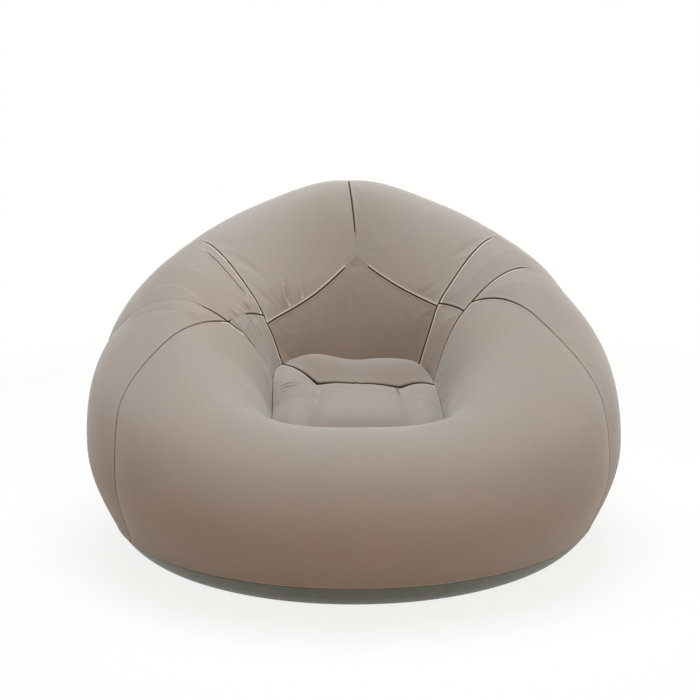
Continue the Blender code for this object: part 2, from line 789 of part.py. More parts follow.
def build_valve(parts, cutters, material, soft, frame):
    skin_under = -SHEET
    collar_top = skin_under - CLEARANCE
    neck = BORE_RADIUS + NECK_WALL
    collar = neck + COLLAR_WIDTH
    base = turned(
        "valve_base_turned",
        [
            (BORE_RADIUS, NECK_PROUD),
            (neck, NECK_PROUD),
            (neck, collar_top),
            (collar, collar_top),
            (collar, collar_top - COLLAR_THICKNESS),
            (neck, collar_top - COLLAR_THICKNESS),
            (neck, -NECK_DEPTH),
            (BORE_RADIUS, -NECK_DEPTH),
        ],
        parts,
        material,
        frame,
    )
    solid_from(base, "valve_base")

    seat = NECK_PROUD + CLEARANCE
    top = seat + PLUG_PLATE
    outer = BORE_RADIUS - CLEARANCE
    inner = outer - PLUG_WALL
    floor = -PLUG_DEPTH + SPIDER_PLATE
    port_outer = PORT_RADIUS + PORT_WALL
    plug = turned(
        "valve_plug_turned",
        [
            (PORT_RADIUS, top),
            (PLUG_RIM, top),
            (PLUG_RIM, seat),
            (outer, seat),
            (outer, -PLUG_DEPTH),
            (STEM_RADIUS + CLEARANCE, -PLUG_DEPTH),
            (STEM_RADIUS + CLEARANCE, floor),
            (inner, floor),
            (inner, seat),
            (port_outer, seat),
            (port_outer, top - PORT_DEPTH),
            (PORT_RADIUS, top - PORT_DEPTH),
        ],
        parts,
        material,
        frame,
    )
    plug = solid_from(plug, "valve_plug")
    for k in range(WINDOWS):
        turn = 2 * math.pi * (k + 0.5) / WINDOWS
        centre = (WINDOW_CIRCLE * math.cos(turn), WINDOW_CIRCLE * math.sin(turn))
        low, high = -PLUG_DEPTH - OVERRUN, floor + OVERRUN
        window = cylinder(f"window_cutter_{k}", WINDOW_RADIUS, low, high, cutters, frame, centre)
        cut(plug, window)
    cap_under = top + CLEARANCE
    cap_top = cap_under + CAP_PLATE
    root_low = HINGE_REACH + CLEARANCE
    root = block(
        "hinge_root_shape",
        (-HINGE_WIDTH / 2, root_low, seat + PLUG_PLATE / 2),
        (HINGE_WIDTH / 2, root_low + HINGE_ROOT, cap_top),
        cutters,
        frame,
    )
    join(plug, root)

    flap_top = -PLUG_DEPTH - CLEARANCE
    head_low = floor + FLAP_TRAVEL + CLEARANCE
    flap = turned(
        "valve_flap_turned",
        [
            (0.0, head_low + STEM_HEAD),
            (STEM_HEAD_RADIUS, head_low + STEM_HEAD),
            (STEM_HEAD_RADIUS, head_low),
            (STEM_RADIUS, head_low),
            (STEM_RADIUS, flap_top),
            (FLAP_RADIUS, flap_top),
            (FLAP_RADIUS, flap_top - FLAP_THICKNESS),
            (0.0, flap_top - FLAP_THICKNESS),
        ],
        parts,
        soft,
        frame,
    )
    solid_from(flap, "valve_flap")

    spigot = PORT_RADIUS - CLEARANCE
    cap = turned(
        "valve_cap_turned",
        [
            (0.0, cap_top),
            (CAP_RADIUS, cap_top),
            (CAP_RADIUS, cap_under),
            (spigot, cap_under),
            (spigot - SPIGOT_TAPER, cap_under - SPIGOT_DEPTH),
            (0.0, cap_under - SPIGOT_DEPTH),
        ],
        parts,
        soft,
        frame,
    )
    cap = solid_from(cap, "valve_cap")
    tongue = block(
        "hinge_tongue_shape",
        (-HINGE_WIDTH / 2, 0.0, cap_under),
        (HINGE_WIDTH / 2, HINGE_REACH - CLEARANCE, cap_top),
        cutters,
        frame,
    )
    join(cap, tongue)
    tab = block(
        "pull_tab_shape",
        (-TAB_WIDTH / 2, -TAB_REACH, cap_under),
        (TAB_WIDTH / 2, 0.0, cap_top),
        cutters,
        frame,
    )
    join(cap, tab)


def main():
    empty_scene()
    parts = new_collection("inflatable_lounge_chair")
    cutters = new_collection("cutters", hidden=True)
    flocked = new_material("flocked_vinyl", (0.376, 0.314, 0.262), 0.85, 0.4)
    vinyl = new_material("base_vinyl", (0.15, 0.16, 0.12), 0.5)
    clear = new_material("web_vinyl", (0.42, 0.42, 0.38), 0.4)
    moulded = new_material("valve_plastic", (0.2, 0.2, 0.18), 0.35)
    soft = new_material("valve_rubber", (0.16, 0.16, 0.15), 0.5)

    def panel(name, rows, material=flocked):
        sheet = grid_mesh(rows)
        add_weld_flange(sheet)
        thing = add_object(name, sheet, parts, material)
        thicken(thing, SHEET)
        return thing

    panel("front_panel", front_rows())
    panel("backrest_panel", backrest_rows())
    rear = {}
    for side, word in ((-1, "left"), (1, "right")):
        panel(f"side_panel_{word}", mirrored(side_rows(), side))
        panel(f"shoulder_panel_{word}", mirrored(shoulder_rows(), side))
        panel(f"gusset_{word}", mirrored(gusset_rows(), side))
        rear[word] = mirrored(rear_rows(), side)
    frame = valve_frame(rear["left"])
    flatten_valve_cell(rear["left"], frame)
    left = panel("rear_panel_left", rear["left"])
    panel("rear_panel_right", rear["right"])
    neck_hole = cylinder(
        "neck_hole_cutter", BORE_RADIUS + NECK_WALL + CLEARANCE, -OVERRUN, OVERRUN, cutters, frame
    )
    cut(left, neck_hole)

    front_outline, rear_outline = seat_front_outline(), seat_rear_outline()
    front_border = [point.xy for point in front_outline + front_outline[:1]]
    rear_border = [point.xy for point in rear_outline + rear_outline[:1]]
    folds = [valley(-1), valley(1)]

    def front_height(x, y):
        return front_lobe_height(x, y, front_border, folds)

    def rear_height(x, y):
        return rear_lobe_height(x, y, rear_border)

    for name, outline, lines, height in (
        ("seat_front_panel", front_outline, folds, front_height),
        ("seat_rear_panel", rear_outline, [], rear_height),
    ):
        sheet = filled_sheet(outline, lines, height)
        add_weld_flange(sheet)
        thicken(add_object(name, sheet, parts, flocked), SHEET)

    base = base_sheet()
    add_weld_flange(base)
    thicken(add_object("base_panel", base, parts, vinyl), BASE_SHEET)

    for name, line in (
        ("seat_web_rear", rear_web_line()),
        ("seat_web_left", side_web_line(-1, front_height)),
        ("seat_web_right", side_web_line(1, front_height)),
    ):
        thicken(add_object(name, web_sheet(line), parts, clear), SHEET, 0.0)

    build_valve(parts, cutters, moulded, soft, frame)


main()
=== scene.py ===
"""Inflatable lounge chair, dressed: flocked vinyl panels with welded seams over a smooth vinyl base.

Metres, +Z up, the chair faces -Y. The skin is a loft: profiles stand on azimuths round the seat (0 is the
front, 180 the back, left is negative), and each profile has stations from the base seam over the rim down
to the seat seam. Each panel is a dense grid on that skin, finer beside its seams.
"""

import json
import math

import bmesh
import bpy
import numpy as np
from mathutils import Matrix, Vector
from mathutils.geometry import delaunay_2d_cdt
from mathutils.kdtree import KDTree


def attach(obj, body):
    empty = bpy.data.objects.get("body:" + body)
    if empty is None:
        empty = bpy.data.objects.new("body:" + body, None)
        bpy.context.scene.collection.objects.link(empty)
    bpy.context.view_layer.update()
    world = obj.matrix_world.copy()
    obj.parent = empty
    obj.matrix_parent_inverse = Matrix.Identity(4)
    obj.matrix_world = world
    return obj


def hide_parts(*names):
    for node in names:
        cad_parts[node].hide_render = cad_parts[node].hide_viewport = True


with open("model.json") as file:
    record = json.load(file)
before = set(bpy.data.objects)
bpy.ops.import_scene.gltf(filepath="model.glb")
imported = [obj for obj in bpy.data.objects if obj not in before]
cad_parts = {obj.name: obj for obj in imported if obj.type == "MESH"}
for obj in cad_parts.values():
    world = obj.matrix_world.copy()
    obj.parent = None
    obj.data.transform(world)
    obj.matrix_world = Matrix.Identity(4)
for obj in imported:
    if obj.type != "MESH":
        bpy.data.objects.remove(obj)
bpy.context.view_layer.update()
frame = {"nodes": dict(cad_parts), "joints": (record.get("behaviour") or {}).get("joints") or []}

# The chair's own sizes, as in the CAD source
WIDTH, DEPTH, HEIGHT = 1.07, 1.04, 0.69
FRONT_HEIGHT = 0.303
BASE_BAND = 0.062
SEAT_WIDTH, SEAT_DEPTH, SEAT_HEIGHT = 0.344, 0.38, 0.265
SEAT_CORNER_POWER = 5.0
PANEL_PUFF = 0.009
FRONT_PUFF_SHARE = 0.6
SEAT_SEAM = 5.0
AZIMUTH_STEP = 30.0

# One value each 30 degrees, front to back
BELLY_SPAN_SHARES = [0.468, 0.473, 0.484, 0.492, 0.507, 0.521, 0.526]
SEAM_BELLY_SHARES = [0.933, 0.93, 0.925, 0.918, 0.91, 0.905, 0.905]
SHOULDER_BELLY_SHARES = [0.878, 0.88, 0.913, 0.947, 0.958, 0.927, 0.909]
RIM_BELLY_SHARES = [0.653, 0.65, 0.654, 0.694, 0.743, 0.718, 0.655]
INNER_RIM_SHARES = [0.385, 0.34, 0.25, 0.34, 0.357, 0.375, 0.44]
RIM_RISE_SHARES = [0.0, 0.013, 0.118, 0.328, 0.639, 0.852, 1.0]
BELLY_HEIGHT_SHARES = [0.516, 0.524, 0.543, 0.512, 0.418, 0.375, 0.348]
SHOULDER_HEIGHT_SHARES = [0.855, 0.857, 0.857, 0.837, 0.818, 0.766, 0.739]
INNER_HEIGHT_SHARES = [0.64, 0.6, 0.6, 0.56, 0.571, 0.556, 0.53]
SEAT_HEIGHT_SHARES = [1.0, 0.98, 0.96, 0.985, 1.12, 1.19, 1.16]
SEAT_TILT, TILT_POWER = 0.027, 0.75
SEAT_SHIFT_SHARE = 0.035
FOOT_SHARE = 0.71
BAND_RADIUS_SHARE = 0.57
BAND_HEIGHT_SHARE = 0.25
BAND_LENGTH, BASE_MARK = 0.115, 0.1
CENTRE_Y = (DEPTH * (BELLY_SPAN_SHARES[0] - BELLY_SPAN_SHARES[-1]) + PANEL_PUFF * FRONT_PUFF_SHARE) / 2

# Seam lines, as azimuths at even steps. The photographed chair's left seams sit a little further forward.
ARM_MEET = 3.85
APEX_STATION = 3.87
APEX_TURN = 2.6
APEX_TURN_FROM = 0.78
FRONT_SPLIT = 14 / 19
SEAMS = {
    1: {
        "arm": [66.5, 66.5, 70.5, 80.5, 97.0, 120.5],
        "shoulder": [113.0, 111.3, 111.0, 112.0, 114.3, 120.5],
        "back": [129.0, 127.0, 126.0, 127.5, 131.0, 138.3],
        "shoulder_inside": [120.5, 124.0, 127.0, 128.3],
        "back_inside": [138.3, 139.4, 141.0, 142.5],
        "back_meet": 4.19,
        "gusset_meets": (4.0, 4.15),
    },
    -1: {
        "arm": [64.5, 61.0, 64.5, 75.0, 89.5, 108.8],
        "shoulder": [107.0, 105.0, 103.5, 102.0, 102.8, 108.8],
        "back": [129.0, 127.0, 126.0, 127.0, 129.3, 134.3],
        "shoulder_inside": [108.8, 112.0, 115.5, 119.5],
        "back_inside": [134.3, 136.0, 137.0, 138.0],
        "back_meet": 4.45,
        "gusset_meets": (3.85, 4.33),
    },
}

# Sheet, welds and mesh spacing
SHEET = 0.0004
GAP = 0.00015
FLANGE = (0.0015, 0.006)
ROUND_OVER = 0.0022
PUFF_REACH = 0.055
EDGE_STEPS = np.array([GAP, 0.0004, 0.0008, 0.0014, 0.0022, 0.0033, 0.0048, 0.0070, 0.0100])
BEAD_AT, BEAD_SPREAD, BEAD_HEIGHT = 0.0034, 0.0017, 0.0012
SOFT_CORNER = 0.02
FINE_LINES, BORDER_POINTS = 161, 700
FROM_ABOVE, UP = np.array([1.0, 1.0, 0.0]), np.array([0.0, 0.0, 1.0])

# Folds on the skin: lines of azimuth and station, half width, height and how dark the painted shade in the
# crease is. Each is a lip beside a crease, with painted shade in the crease and, on the darkest, a painted
# highlight on the lip, and a negative height puts the lip on the other side.
FOLDS = [
    ([(-124.5, 3.12), (-124.8, 3.53), (-126.3, 3.8), (-128.5, 4.0)], 0.0028, 0.0014, 1.0),
    ([(-112.5, 3.75), (-114.0, 3.90), (-115.0, 4.05)], 0.0020, 0.0012, 0.6),
    ([(-117.5, 3.85), (-120.5, 4.10), (-121.5, 4.25), (-121.5, 4.41)], 0.0020, 0.0013, 0.8),
    ([(-122.5, 3.91), (-124.5, 4.05), (-126.0, 4.19)], 0.0018, 0.0011, 0.7),
    ([(-124.5, 4.27), (-124.0, 4.40), (-123.5, 4.52)], 0.0018, 0.0011, 0.8),
    ([(-119.0, 4.30), (-118.5, 4.42), (-118.0, 4.55)], 0.0018, 0.0010, 0.5),
    ([(-74.5, 3.59), (-72.0, 3.75), (-62.5, 3.95)], 0.0034, 0.0018, 0.5),
    ([(-148.5, 4.03), (-147.8, 4.17), (-148.5, 4.36)], 0.0034, 0.0026, 0.6),
    ([(-156.0, 4.13), (-155.2, 4.30)], 0.0032, 0.0018, 0.4),
    ([(-181.0, 4.19), (-181.0, 4.31), (-180.0, 4.53)], 0.0040, -0.0014, 0.35),
    ([(128.5, 4.20), (128.0, 4.38)], 0.0030, 0.0009, 0.0),
]
SEAT_FOLDS = [
    ([(-0.158, 0.014), (-0.130, 0.024), (-0.103, 0.029)], 0.0018, 0.0008, 0.75),
    ([(-0.158, 0.006), (-0.130, 0.013), (-0.099, 0.018)], 0.0018, 0.0008, 0.75),
    ([(-0.156, -0.001), (-0.126, -0.001)], 0.0018, 0.0008, 0.6),
    ([(-0.136, 0.046), (-0.115, 0.033), (-0.093, 0.013)], 0.0020, 0.0008, 0.6),
    ([(0.104, 0.001), (0.116, 0.009), (0.137, 0.011)], 0.0020, 0.0008, 0.5),
    ([(0.004, 0.127), (0.010, 0.09), (0.014, 0.06)], 0.0050, 0.0012, 0.0),
    ([(-0.084, -0.100), (-0.0785, -0.025), (-0.0765, 0.054)], 0.0070, -0.0042, 0.46),
    ([(0.075, 0.047), (0.082, 0.063)], 0.0030, 0.0010, 0.0),
]
# Painted shade in a fold's crease: its mark, how it fades, and how wide its darkest part is
CREASE_MARK, CREASE_FADE, CREASE_FLAT = 0.0006, 0.0012, 0.0010

# Where seams fade out: azimuths and stations over which the fade comes and goes, and how much it takes
CREST = (2.3, 2.5)
SEAM_FADES = [
    (((-127.0, -122.5), (-108.0, -104.0)), ((4.42, 4.62), (4.84, 4.92)), 0.9),
    (((-122.0, -119.0), (-111.8, -110.2)), ((3.8, 3.86), (4.15, 4.25)), 0.85),
    (((-108.0, -107.0), (-100.5, -98.0)), (CREST, (3.34, 3.5)), 0.85),
    (((106.0, 109.0), (118.0, 121.0)), (CREST, (2.86, 3.04)), 0.85),
    (((122.0, 125.0), (134.0, 137.0)), (CREST, (2.96, 3.12)), 0.85),
    (((-137.0, -134.0), (-125.0, -122.0)), (CREST, (2.96, 3.12)), 0.85),
]
ARM_FADE = 0.06
APEX_FADE, APEX_ABOVE, APEX_SQUEEZE = (0.018, 0.036), 0.004, 0.62


def catmull(p0, p1, p2, p3, s):
    m1, m2 = (p2 - p0) / 2, (p3 - p1) / 2
    s2, s3 = s * s, s * s * s
    return (2 * s3 - 3 * s2 + 1) * p1 + (s3 - 2 * s2 + s) * m1 + (3 * s2 - 2 * s3) * p2 + (s3 - s2) * m2


def around(shares, azimuth):
    """Smooth values round the chair, the same on the left and the right."""
    table = np.array(shares + shares[-2:0:-1])
    place = (azimuth % 360.0) / AZIMUTH_STEP
    i = np.floor(place).astype(int)
    return catmull(*(table[(i + k) % len(table)] for k in (-1, 0, 1, 2)), place - i)


def along(values, share):
    """Smooth values at shares of the way through evenly spaced ones."""
    table = np.array([2 * values[0] - values[1], *values, 2 * values[-1] - values[-2]])
    place = np.clip(share, 0.0, 1.0) * (len(values) - 1)
    i = np.minimum(place.astype(int), len(values) - 2)
    return catmull(table[i], table[i + 1], table[i + 2], table[i + 3], place - i)


def mix(a, b, share):
    return a + (b - a) * share


def at_azimuth(azimuth, radius, height):
    turn = np.radians(azimuth)
    return np.stack([radius * np.sin(turn), CENTRE_Y - radius * np.cos(turn), height + 0 * radius], -1)


def seat_radius(azimuth):
    turn = np.radians(azimuth)
    across = np.abs(np.sin(turn) * 2 / SEAT_WIDTH) ** SEAT_CORNER_POWER
    deep = np.abs(np.cos(turn) * 2 / SEAT_DEPTH) ** SEAT_CORNER_POWER
    return (across + deep) ** (-1 / SEAT_CORNER_POWER) * (1 + SEAT_SHIFT_SHARE * np.sin(turn))


def seat_edge_height(azimuth):
    """The seat seam's height. The photographed seat stands higher at its left rear corner."""
    turn = np.radians(azimuth)
    tilt = SEAT_TILT * np.sin(turn) * np.maximum(-np.cos(turn), 0.0) ** TILT_POWER
    return SEAT_HEIGHT * around(SEAT_HEIGHT_SHARES, azimuth) - tilt


def stations(azimuth):
    turn = np.radians(azimuth)
    span = np.hypot(WIDTH * np.sin(turn), DEPTH * np.cos(turn))
    belly = span * around(BELLY_SPAN_SHARES, azimuth)
    rim = belly * around(RIM_BELLY_SHARES, azimuth)
    seat = seat_radius(azimuth)
    rim_height = mix(FRONT_HEIGHT, HEIGHT, around(RIM_RISE_SHARES, azimuth))
    seat_height = seat_edge_height(azimuth)
    radii = [
        belly * around(SEAM_BELLY_SHARES, azimuth),
        belly,
        belly * around(SHOULDER_BELLY_SHARES, azimuth),
        rim,
        mix(seat, rim, around(INNER_RIM_SHARES, azimuth)),
        seat,
    ]
    heights = [
        BASE_BAND + 0 * belly,
        rim_height * around(BELLY_HEIGHT_SHARES, azimuth),
        rim_height * around(SHOULDER_HEIGHT_SHARES, azimuth),
        rim_height,
        mix(seat_height, rim_height, around(INNER_HEIGHT_SHARES, azimuth)),
        seat_height,
    ]
    return np.stack([np.array(radii), np.array(heights)], -1)


def skin(azimuth, station):
    """Points of the smooth skin, for arrays of azimuths and stations."""
    azimuth, station = np.broadcast_arrays(np.asarray(azimuth, float), np.asarray(station, float))
    shape, azimuth, station = azimuth.shape, azimuth.ravel(), station.ravel()
    points = stations(azimuth)
    points = np.concatenate([2 * points[:1] - points[1:2], points, 2 * points[-1:] - points[-2:-1]])
    i = np.clip(station.astype(int), 0, len(points) - 4)
    n = np.arange(len(i))
    p0, p1, p2, p3 = (points[i + k, n] for k in range(4))
    d1, d2, d3 = (
        np.sqrt(np.linalg.norm(b - a, axis=1))[:, None] for a, b in ((p0, p1), (p1, p2), (p2, p3))
    )
    m1 = ((p1 - p0) / d1 - (p2 - p0) / (d1 + d2) + (p2 - p1) / d2) * d2
    m2 = ((p2 - p1) / d2 - (p3 - p1) / (d2 + d3) + (p3 - p2) / d3) * d2
    s = (station - i)[:, None]
    s2, s3 = s * s, s * s * s
    place = p1 * (2 * s3 - 3 * s2 + 1) + m1 * (s3 - 2 * s2 + s) + p2 * (3 * s2 - 2 * s3) + m2 * (s3 - s2)
    return at_azimuth(azimuth, place[:, 0], place[:, 1]).reshape(*shape, 3)


def unit(vectors):
    return vectors / np.maximum(np.linalg.norm(vectors, axis=-1, keepdims=True), 1e-12)


def skin_normal(azimuth, station):
    low, high = np.maximum(station - 0.01, 0.0), np.minimum(station + 0.01, SEAT_SEAM)
    up = skin(azimuth, high) - skin(azimuth, low)
    return unit(np.cross(skin(azimuth + 0.5, station) - skin(azimuth - 0.5, station), up))


# Panels, as maps from shares across (left to right) and up to azimuth and station


def seam(side, name, share):
    return side * along(SEAMS[side][name], share)


def centre_azimuth(v):
    """The centre back seam, which leans to the right inside the crown."""
    share = np.clip((v - APEX_TURN_FROM) / (1 - APEX_TURN_FROM), 0, 1)
    return 180.0 - APEX_TURN * share * share * (3 - 2 * share)


def top_station(side, share):
    return mix(SEAMS[side]["back_meet"], APEX_STATION, share * share)


def whole_seam(side, lower, upper, meet, station):
    """A seam's azimuths at stations both below and above the seam that it meets."""
    below = seam(side, lower, np.clip(station / meet, 0, 1))
    above = seam(side, upper, np.clip((station - meet) / (SEAT_SEAM - meet), 0, 1))
    return np.where(station <= meet, below, above)


def front_map(u, v):
    low, high = v / FRONT_SPLIT, (v - FRONT_SPLIT) / (1 - FRONT_SPLIT)
    station = np.where(v <= FRONT_SPLIT, ARM_MEET * low, mix(ARM_MEET, SEAT_SEAM, high))
    left, right = (whole_seam(side, "arm", "shoulder_inside", ARM_MEET, station) for side in (-1, 1))
    return mix(left, right, u), station


def sided(build, side):
    """A panel's map for one side. The map is written for the right, and runs the other way on the left."""
    return lambda u, v: build(side, u if side > 0 else 1 - u, v)


def side_map(side, u, v):
    return mix(seam(side, "arm", v), seam(side, "shoulder", v), u), ARM_MEET * v


def shoulder_edges(side, low, high, u):
    """Azimuths between the shoulder's front and back seams, at a station on each."""
    front = whole_seam(side, "shoulder", "shoulder_inside", ARM_MEET, low)
    back = whole_seam(side, "back", "back_inside", SEAMS[side]["back_meet"], high)
    return mix(front, back, u)


def shoulder_map(side, u, v):
    low, high = SEAMS[side]["gusset_meets"]
    return shoulder_edges(side, v * low, v * high, u), v * mix(low, high, u)


def gusset_map(side, u, v):
    low, high = SEAMS[side]["gusset_meets"]
    azimuth = shoulder_edges(side, mix(low, SEAT_SEAM, v), mix(high, SEAT_SEAM, v), u)
    return azimuth, mix(mix(low, high, u), SEAT_SEAM, v)


def rear_map(side, u, v):
    centre = centre_azimuth(v) if side > 0 else centre_azimuth(v) - 360.0
    return mix(seam(side, "back", v), centre, u), v * top_station(side, u)


def backrest_map(u, v):
    right, left = seam(1, "back_inside", v), 360.0 + seam(-1, "back_inside", v)
    centre = mix(centre_azimuth(1.0), (right + left) / 2, v)
    share = 1 - np.abs(2 * u - 1)
    azimuth = np.where(u < 0.5, mix(right, centre, share), mix(left, centre, share))
    top = np.where(u < 0.5, top_station(1, share), top_station(-1, share))
    return azimuth, mix(top, SEAT_SEAM, v)


def spread(length, count):
    """Distances along lines of the given lengths: close beside both ends, even between."""
    length = np.asarray(length)[..., None]
    edge = EDGE_STEPS * np.minimum(1.0, length / (5 * EDGE_STEPS[-1]))
    inner = np.linspace(0, 1, count - 2 * (len(EDGE_STEPS) - 1) + 1)[1:-1]
    middle = mix(edge[..., -1:], length - edge[..., -1:], inner)
    return np.concatenate([edge, middle, length - edge[..., ::-1]], -1)


def arc(points):
    """Lengths along the last-but-one axis of lines of points."""
    steps = np.linalg.norm(np.diff(points, axis=-2), axis=-1)
    return np.concatenate([np.zeros((*steps.shape[:-1], 1)), np.cumsum(steps, -1)], -1)


def panel_grid(mapping, columns, rows):
    """Shares across and up for a grid whose lines crowd beside the panel's borders, in real lengths."""
    fine = np.linspace(0, 1, FINE_LINES)
    u_fine, v_fine = np.meshgrid(fine, fine)
    points = skin(*mapping(u_fine, v_fine))
    column_arc = arc(points.transpose(1, 0, 2))
    wanted = spread(column_arc[:, -1], rows)
    v_line = np.array([np.interp(d, a, fine) for a, d in zip(column_arc, wanted)]).T
    row_arc = arc(skin(*mapping(fine, v_line)))
    wanted = spread(row_arc[:, -1], columns)
    u = np.array([np.interp(d, a, fine) for a, d in zip(row_arc, wanted)])
    return u, np.array([np.interp(x, fine, y) for x, y in zip(u, v_line)])


def tree_of(points):
    tree = KDTree(len(points))
    for i, point in enumerate(points):
        tree.insert(point, i)
    tree.balance()
    return tree


def border_distance(mapping, points):
    """How far points of the skin are from the panel's border."""
    t = np.linspace(0, 1, BORDER_POINTS)
    zero, one = np.zeros_like(t), np.ones_like(t)
    lines = [skin(*mapping(*uv)) for uv in ((t, zero), (t, one), (zero, t), (one, t))]
    tree = tree_of(np.concatenate(lines))
    return np.array([tree.find(p)[2] for p in points.reshape(-1, 3)]).reshape(points.shape[:-1])


def groove(distance):
    """How far a sheet's edge rolls in beside its seam."""
    inside = np.maximum(ROUND_OVER - distance, 0.0)
    return ROUND_OVER - np.sqrt(np.maximum(ROUND_OVER**2 - inside**2, 0.0))


def smooth_step(value, low, high):
    share = np.clip((value - low) / (high - low), 0.0, 1.0)
    return share * share * (3 - 2 * share)


def window(value, rises, falls):
    return smooth_step(value, *rises) * (1 - smooth_step(value, *falls))


def seam_strength(azimuth, station):
    """How strongly each seam is drawn in, with and without its fade at the apex."""
    away = skin(azimuth, station) - skin(centre_azimuth(1.0), APEX_STATION)
    away = np.linalg.norm(away, axis=-1) * np.where(away[..., 2] > APEX_ABOVE, APEX_SQUEEZE, 1.0)
    turn = np.where(azimuth > 180.0, azimuth - 360.0, azimuth)
    depth = 1 - ARM_FADE * (1 - smooth_step(np.abs(turn), 97.0, 108.0)) * (station < ARM_MEET)
    for turns, heights, share in SEAM_FADES:
        depth = depth * (1 - share * window(turn, *turns) * window(station, *heights))
    return smooth_step(away, *APEX_FADE) * depth, depth


def seam_rise(distance, strength, depth):
    soft = SOFT_CORNER * (1 - strength)
    rounded = np.sqrt(distance**2 + soft**2) - soft
    bead = BEAD_HEIGHT * np.exp(-(((distance - BEAD_AT) / BEAD_SPREAD) ** 2))
    dip = (0.5 + 0.5 * depth) * np.exp(-rounded / PUFF_REACH)
    return PANEL_PUFF * (1 - dip) + strength * (bead - groove(distance))


def unfolded(count):
    """No rise, no painted crease shade and no painted highlight on a lip."""
    return np.zeros(count), np.ones(count), np.zeros(count)


def lip(points, path, up, width, height, dark):
    """One small fold at points near a path: its rise, a mark for painted shade that is least in its crease,
    and the painted highlight on its lip.
    """
    rise, mark, shine = unfolded(len(points))
    reach = 4 * width
    near = np.nonzero(np.all((points > path.min(0) - reach) & (points < path.max(0) + reach), axis=1))[0]
    if len(near) == 0:
        return rise, mark, shine
    tangent = unit(np.gradient(path, axis=0))
    beside = unit(np.cross(tangent, up))
    gap = points[near][:, None] - path
    closest = np.argmin(np.einsum("ijk,ijk->ij", gap, gap), axis=1)
    away = gap[np.arange(len(near)), closest]
    across = np.einsum("ij,ij->i", away, beside[closest]) / width
    past = np.einsum("ij,ij->i", away, tangent[closest]) / width
    fade = np.sin(np.pi * closest / (len(path) - 1)) ** 0.4 * np.exp(-(past**2))
    rise[near] = height * fade * across * np.exp(0.5 * (1 - across**2))
    crease = np.abs(across + math.copysign(0.8, height)) * width
    crease = np.maximum(crease - CREASE_FLAT, 0.0)
    mark[near] = crease + CREASE_MARK + CREASE_FADE * (1 / np.maximum(dark * fade, 0.02) - 1)
    shine[near] = np.where(across * height > 0, smooth_step(dark * fade, 0.8, 0.95), 0.0)
    return rise, mark, shine


def all_folds(points, folds, path_of):
    share = np.linspace(0, 1, 50)
    rise, mark, shine = unfolded(len(points))
    for line, width, height, dark in folds:
        path, up = path_of(*(along(values, share) for values in zip(*line)))
        more, crease, light = lip(points, path, up, width, height, dark)
        rise, mark, shine = rise + more, np.minimum(mark, crease), np.maximum(shine, light)
    return rise, mark, shine


def skin_folds(points):
    return all_folds(points, FOLDS, lambda *at: (skin(*at), skin_normal(*at)))


def seat_folds(x, y):
    points = np.stack([x, y, 0 * x], -1)
    return all_folds(points, SEAT_FOLDS, lambda a, b: (np.stack([a, b, 0 * a], -1), UP))


def linked(name, data):
    thing = bpy.data.objects.new(name, data)
    bpy.context.scene.collection.objects.link(thing)
    return thing


def put_values(mesh, word, values):
    mark = mesh.attributes.get(word) or mesh.attributes.new(word, "FLOAT", "POINT")
    mark.data.foreach_set("value", np.asarray(values, np.float32))


def vertex_places(mesh):
    return np.array([tuple(vertex.co) for vertex in mesh.vertices])


def quads(index):
    """The faces of a grid of vertex numbers."""
    return [
        (index[j, i], index[j, i + 1], index[j + 1, i + 1], index[j + 1, i])
        for j in range(index.shape[0] - 1)
        for i in range(index.shape[1] - 1)
    ]


def staggered(outline, cell):
    """Points over an outline's box, by column and row, where every other row stands half a cell on."""
    low, high = outline.min(0), outline.max(0)
    size = np.array([cell, cell * ROW_STEP])
    i, j = np.indices(((high - low) / size).astype(int) + 1)
    return low + np.stack([i + 0.5 * (j % 2), j], -1) * size


def triangles(points, count):
    """Triangles over 2-D points, the first of which are the border."""
    edges = [(i, (i + 1) % count) for i in range(count)]
    border = [list(range(count))]
    made, _, faces, *_ = delaunay_2d_cdt([Vector(p) for p in points], edges, border, 1, 1e-5)
    return np.array([tuple(p) for p in made]), [tuple(f) for f in faces]


# Cloth: each panel's sheet is held at its border and pushed out by the air inside
SHEET_CELL, ROW_STEP = 0.011, 0.866
CLOTH_FRAMES = 20
MOVE_CAP = 0.0008
CLOTH = {
    "vertex_group_mass": "held",
    "quality": 5,
    "mass": 0.3,
    "tension_stiffness": 15.0,
    "compression_stiffness": 15.0,
    "shear_stiffness": 5.0,
    "bending_stiffness": 0.5,
    "use_pressure": True,
    "uniform_pressure_force": 4.0,
    "shrink_min": -0.002,
}
sheets = {}


def sheet_grid(name, mapping):
    """A coarse sheet over a panel, smooth across the seams' grooves, to be moved by the cloth."""
    fine = np.linspace(0, 1, 41)
    across, up = np.meshgrid(fine, fine)
    points = skin(*mapping(across, up))
    width = arc(points)[:, -1].max()
    height = arc(points.transpose(1, 0, 2))[:, -1].max()
    columns, rows = (max(int(round(length / SHEET_CELL)), 8) for length in (width, height))
    u, v = np.meshgrid(np.linspace(0, 1, columns + 1), np.linspace(0, 1, rows + 1))
    azimuth, station = mapping(u, v)
    base = skin(azimuth, station)
    distance = border_distance(mapping, base)
    rise = PANEL_PUFF * (1 - np.exp(-distance / PUFF_REACH))
    points = base + skin_normal(azimuth, station) * rise[..., None]
    points, first = np.unique(np.round(points.reshape(-1, 3), 6), axis=0, return_inverse=True)
    first = first.reshape(u.shape)
    faces = [tuple(dict.fromkeys(int(corner) for corner in face)) for face in quads(first)]
    held = np.concatenate([first[0], first[-1], first[:, 0], first[:, -1]])
    sheets[name] = {"points": points, "faces": faces, "held": held, "grid": first}


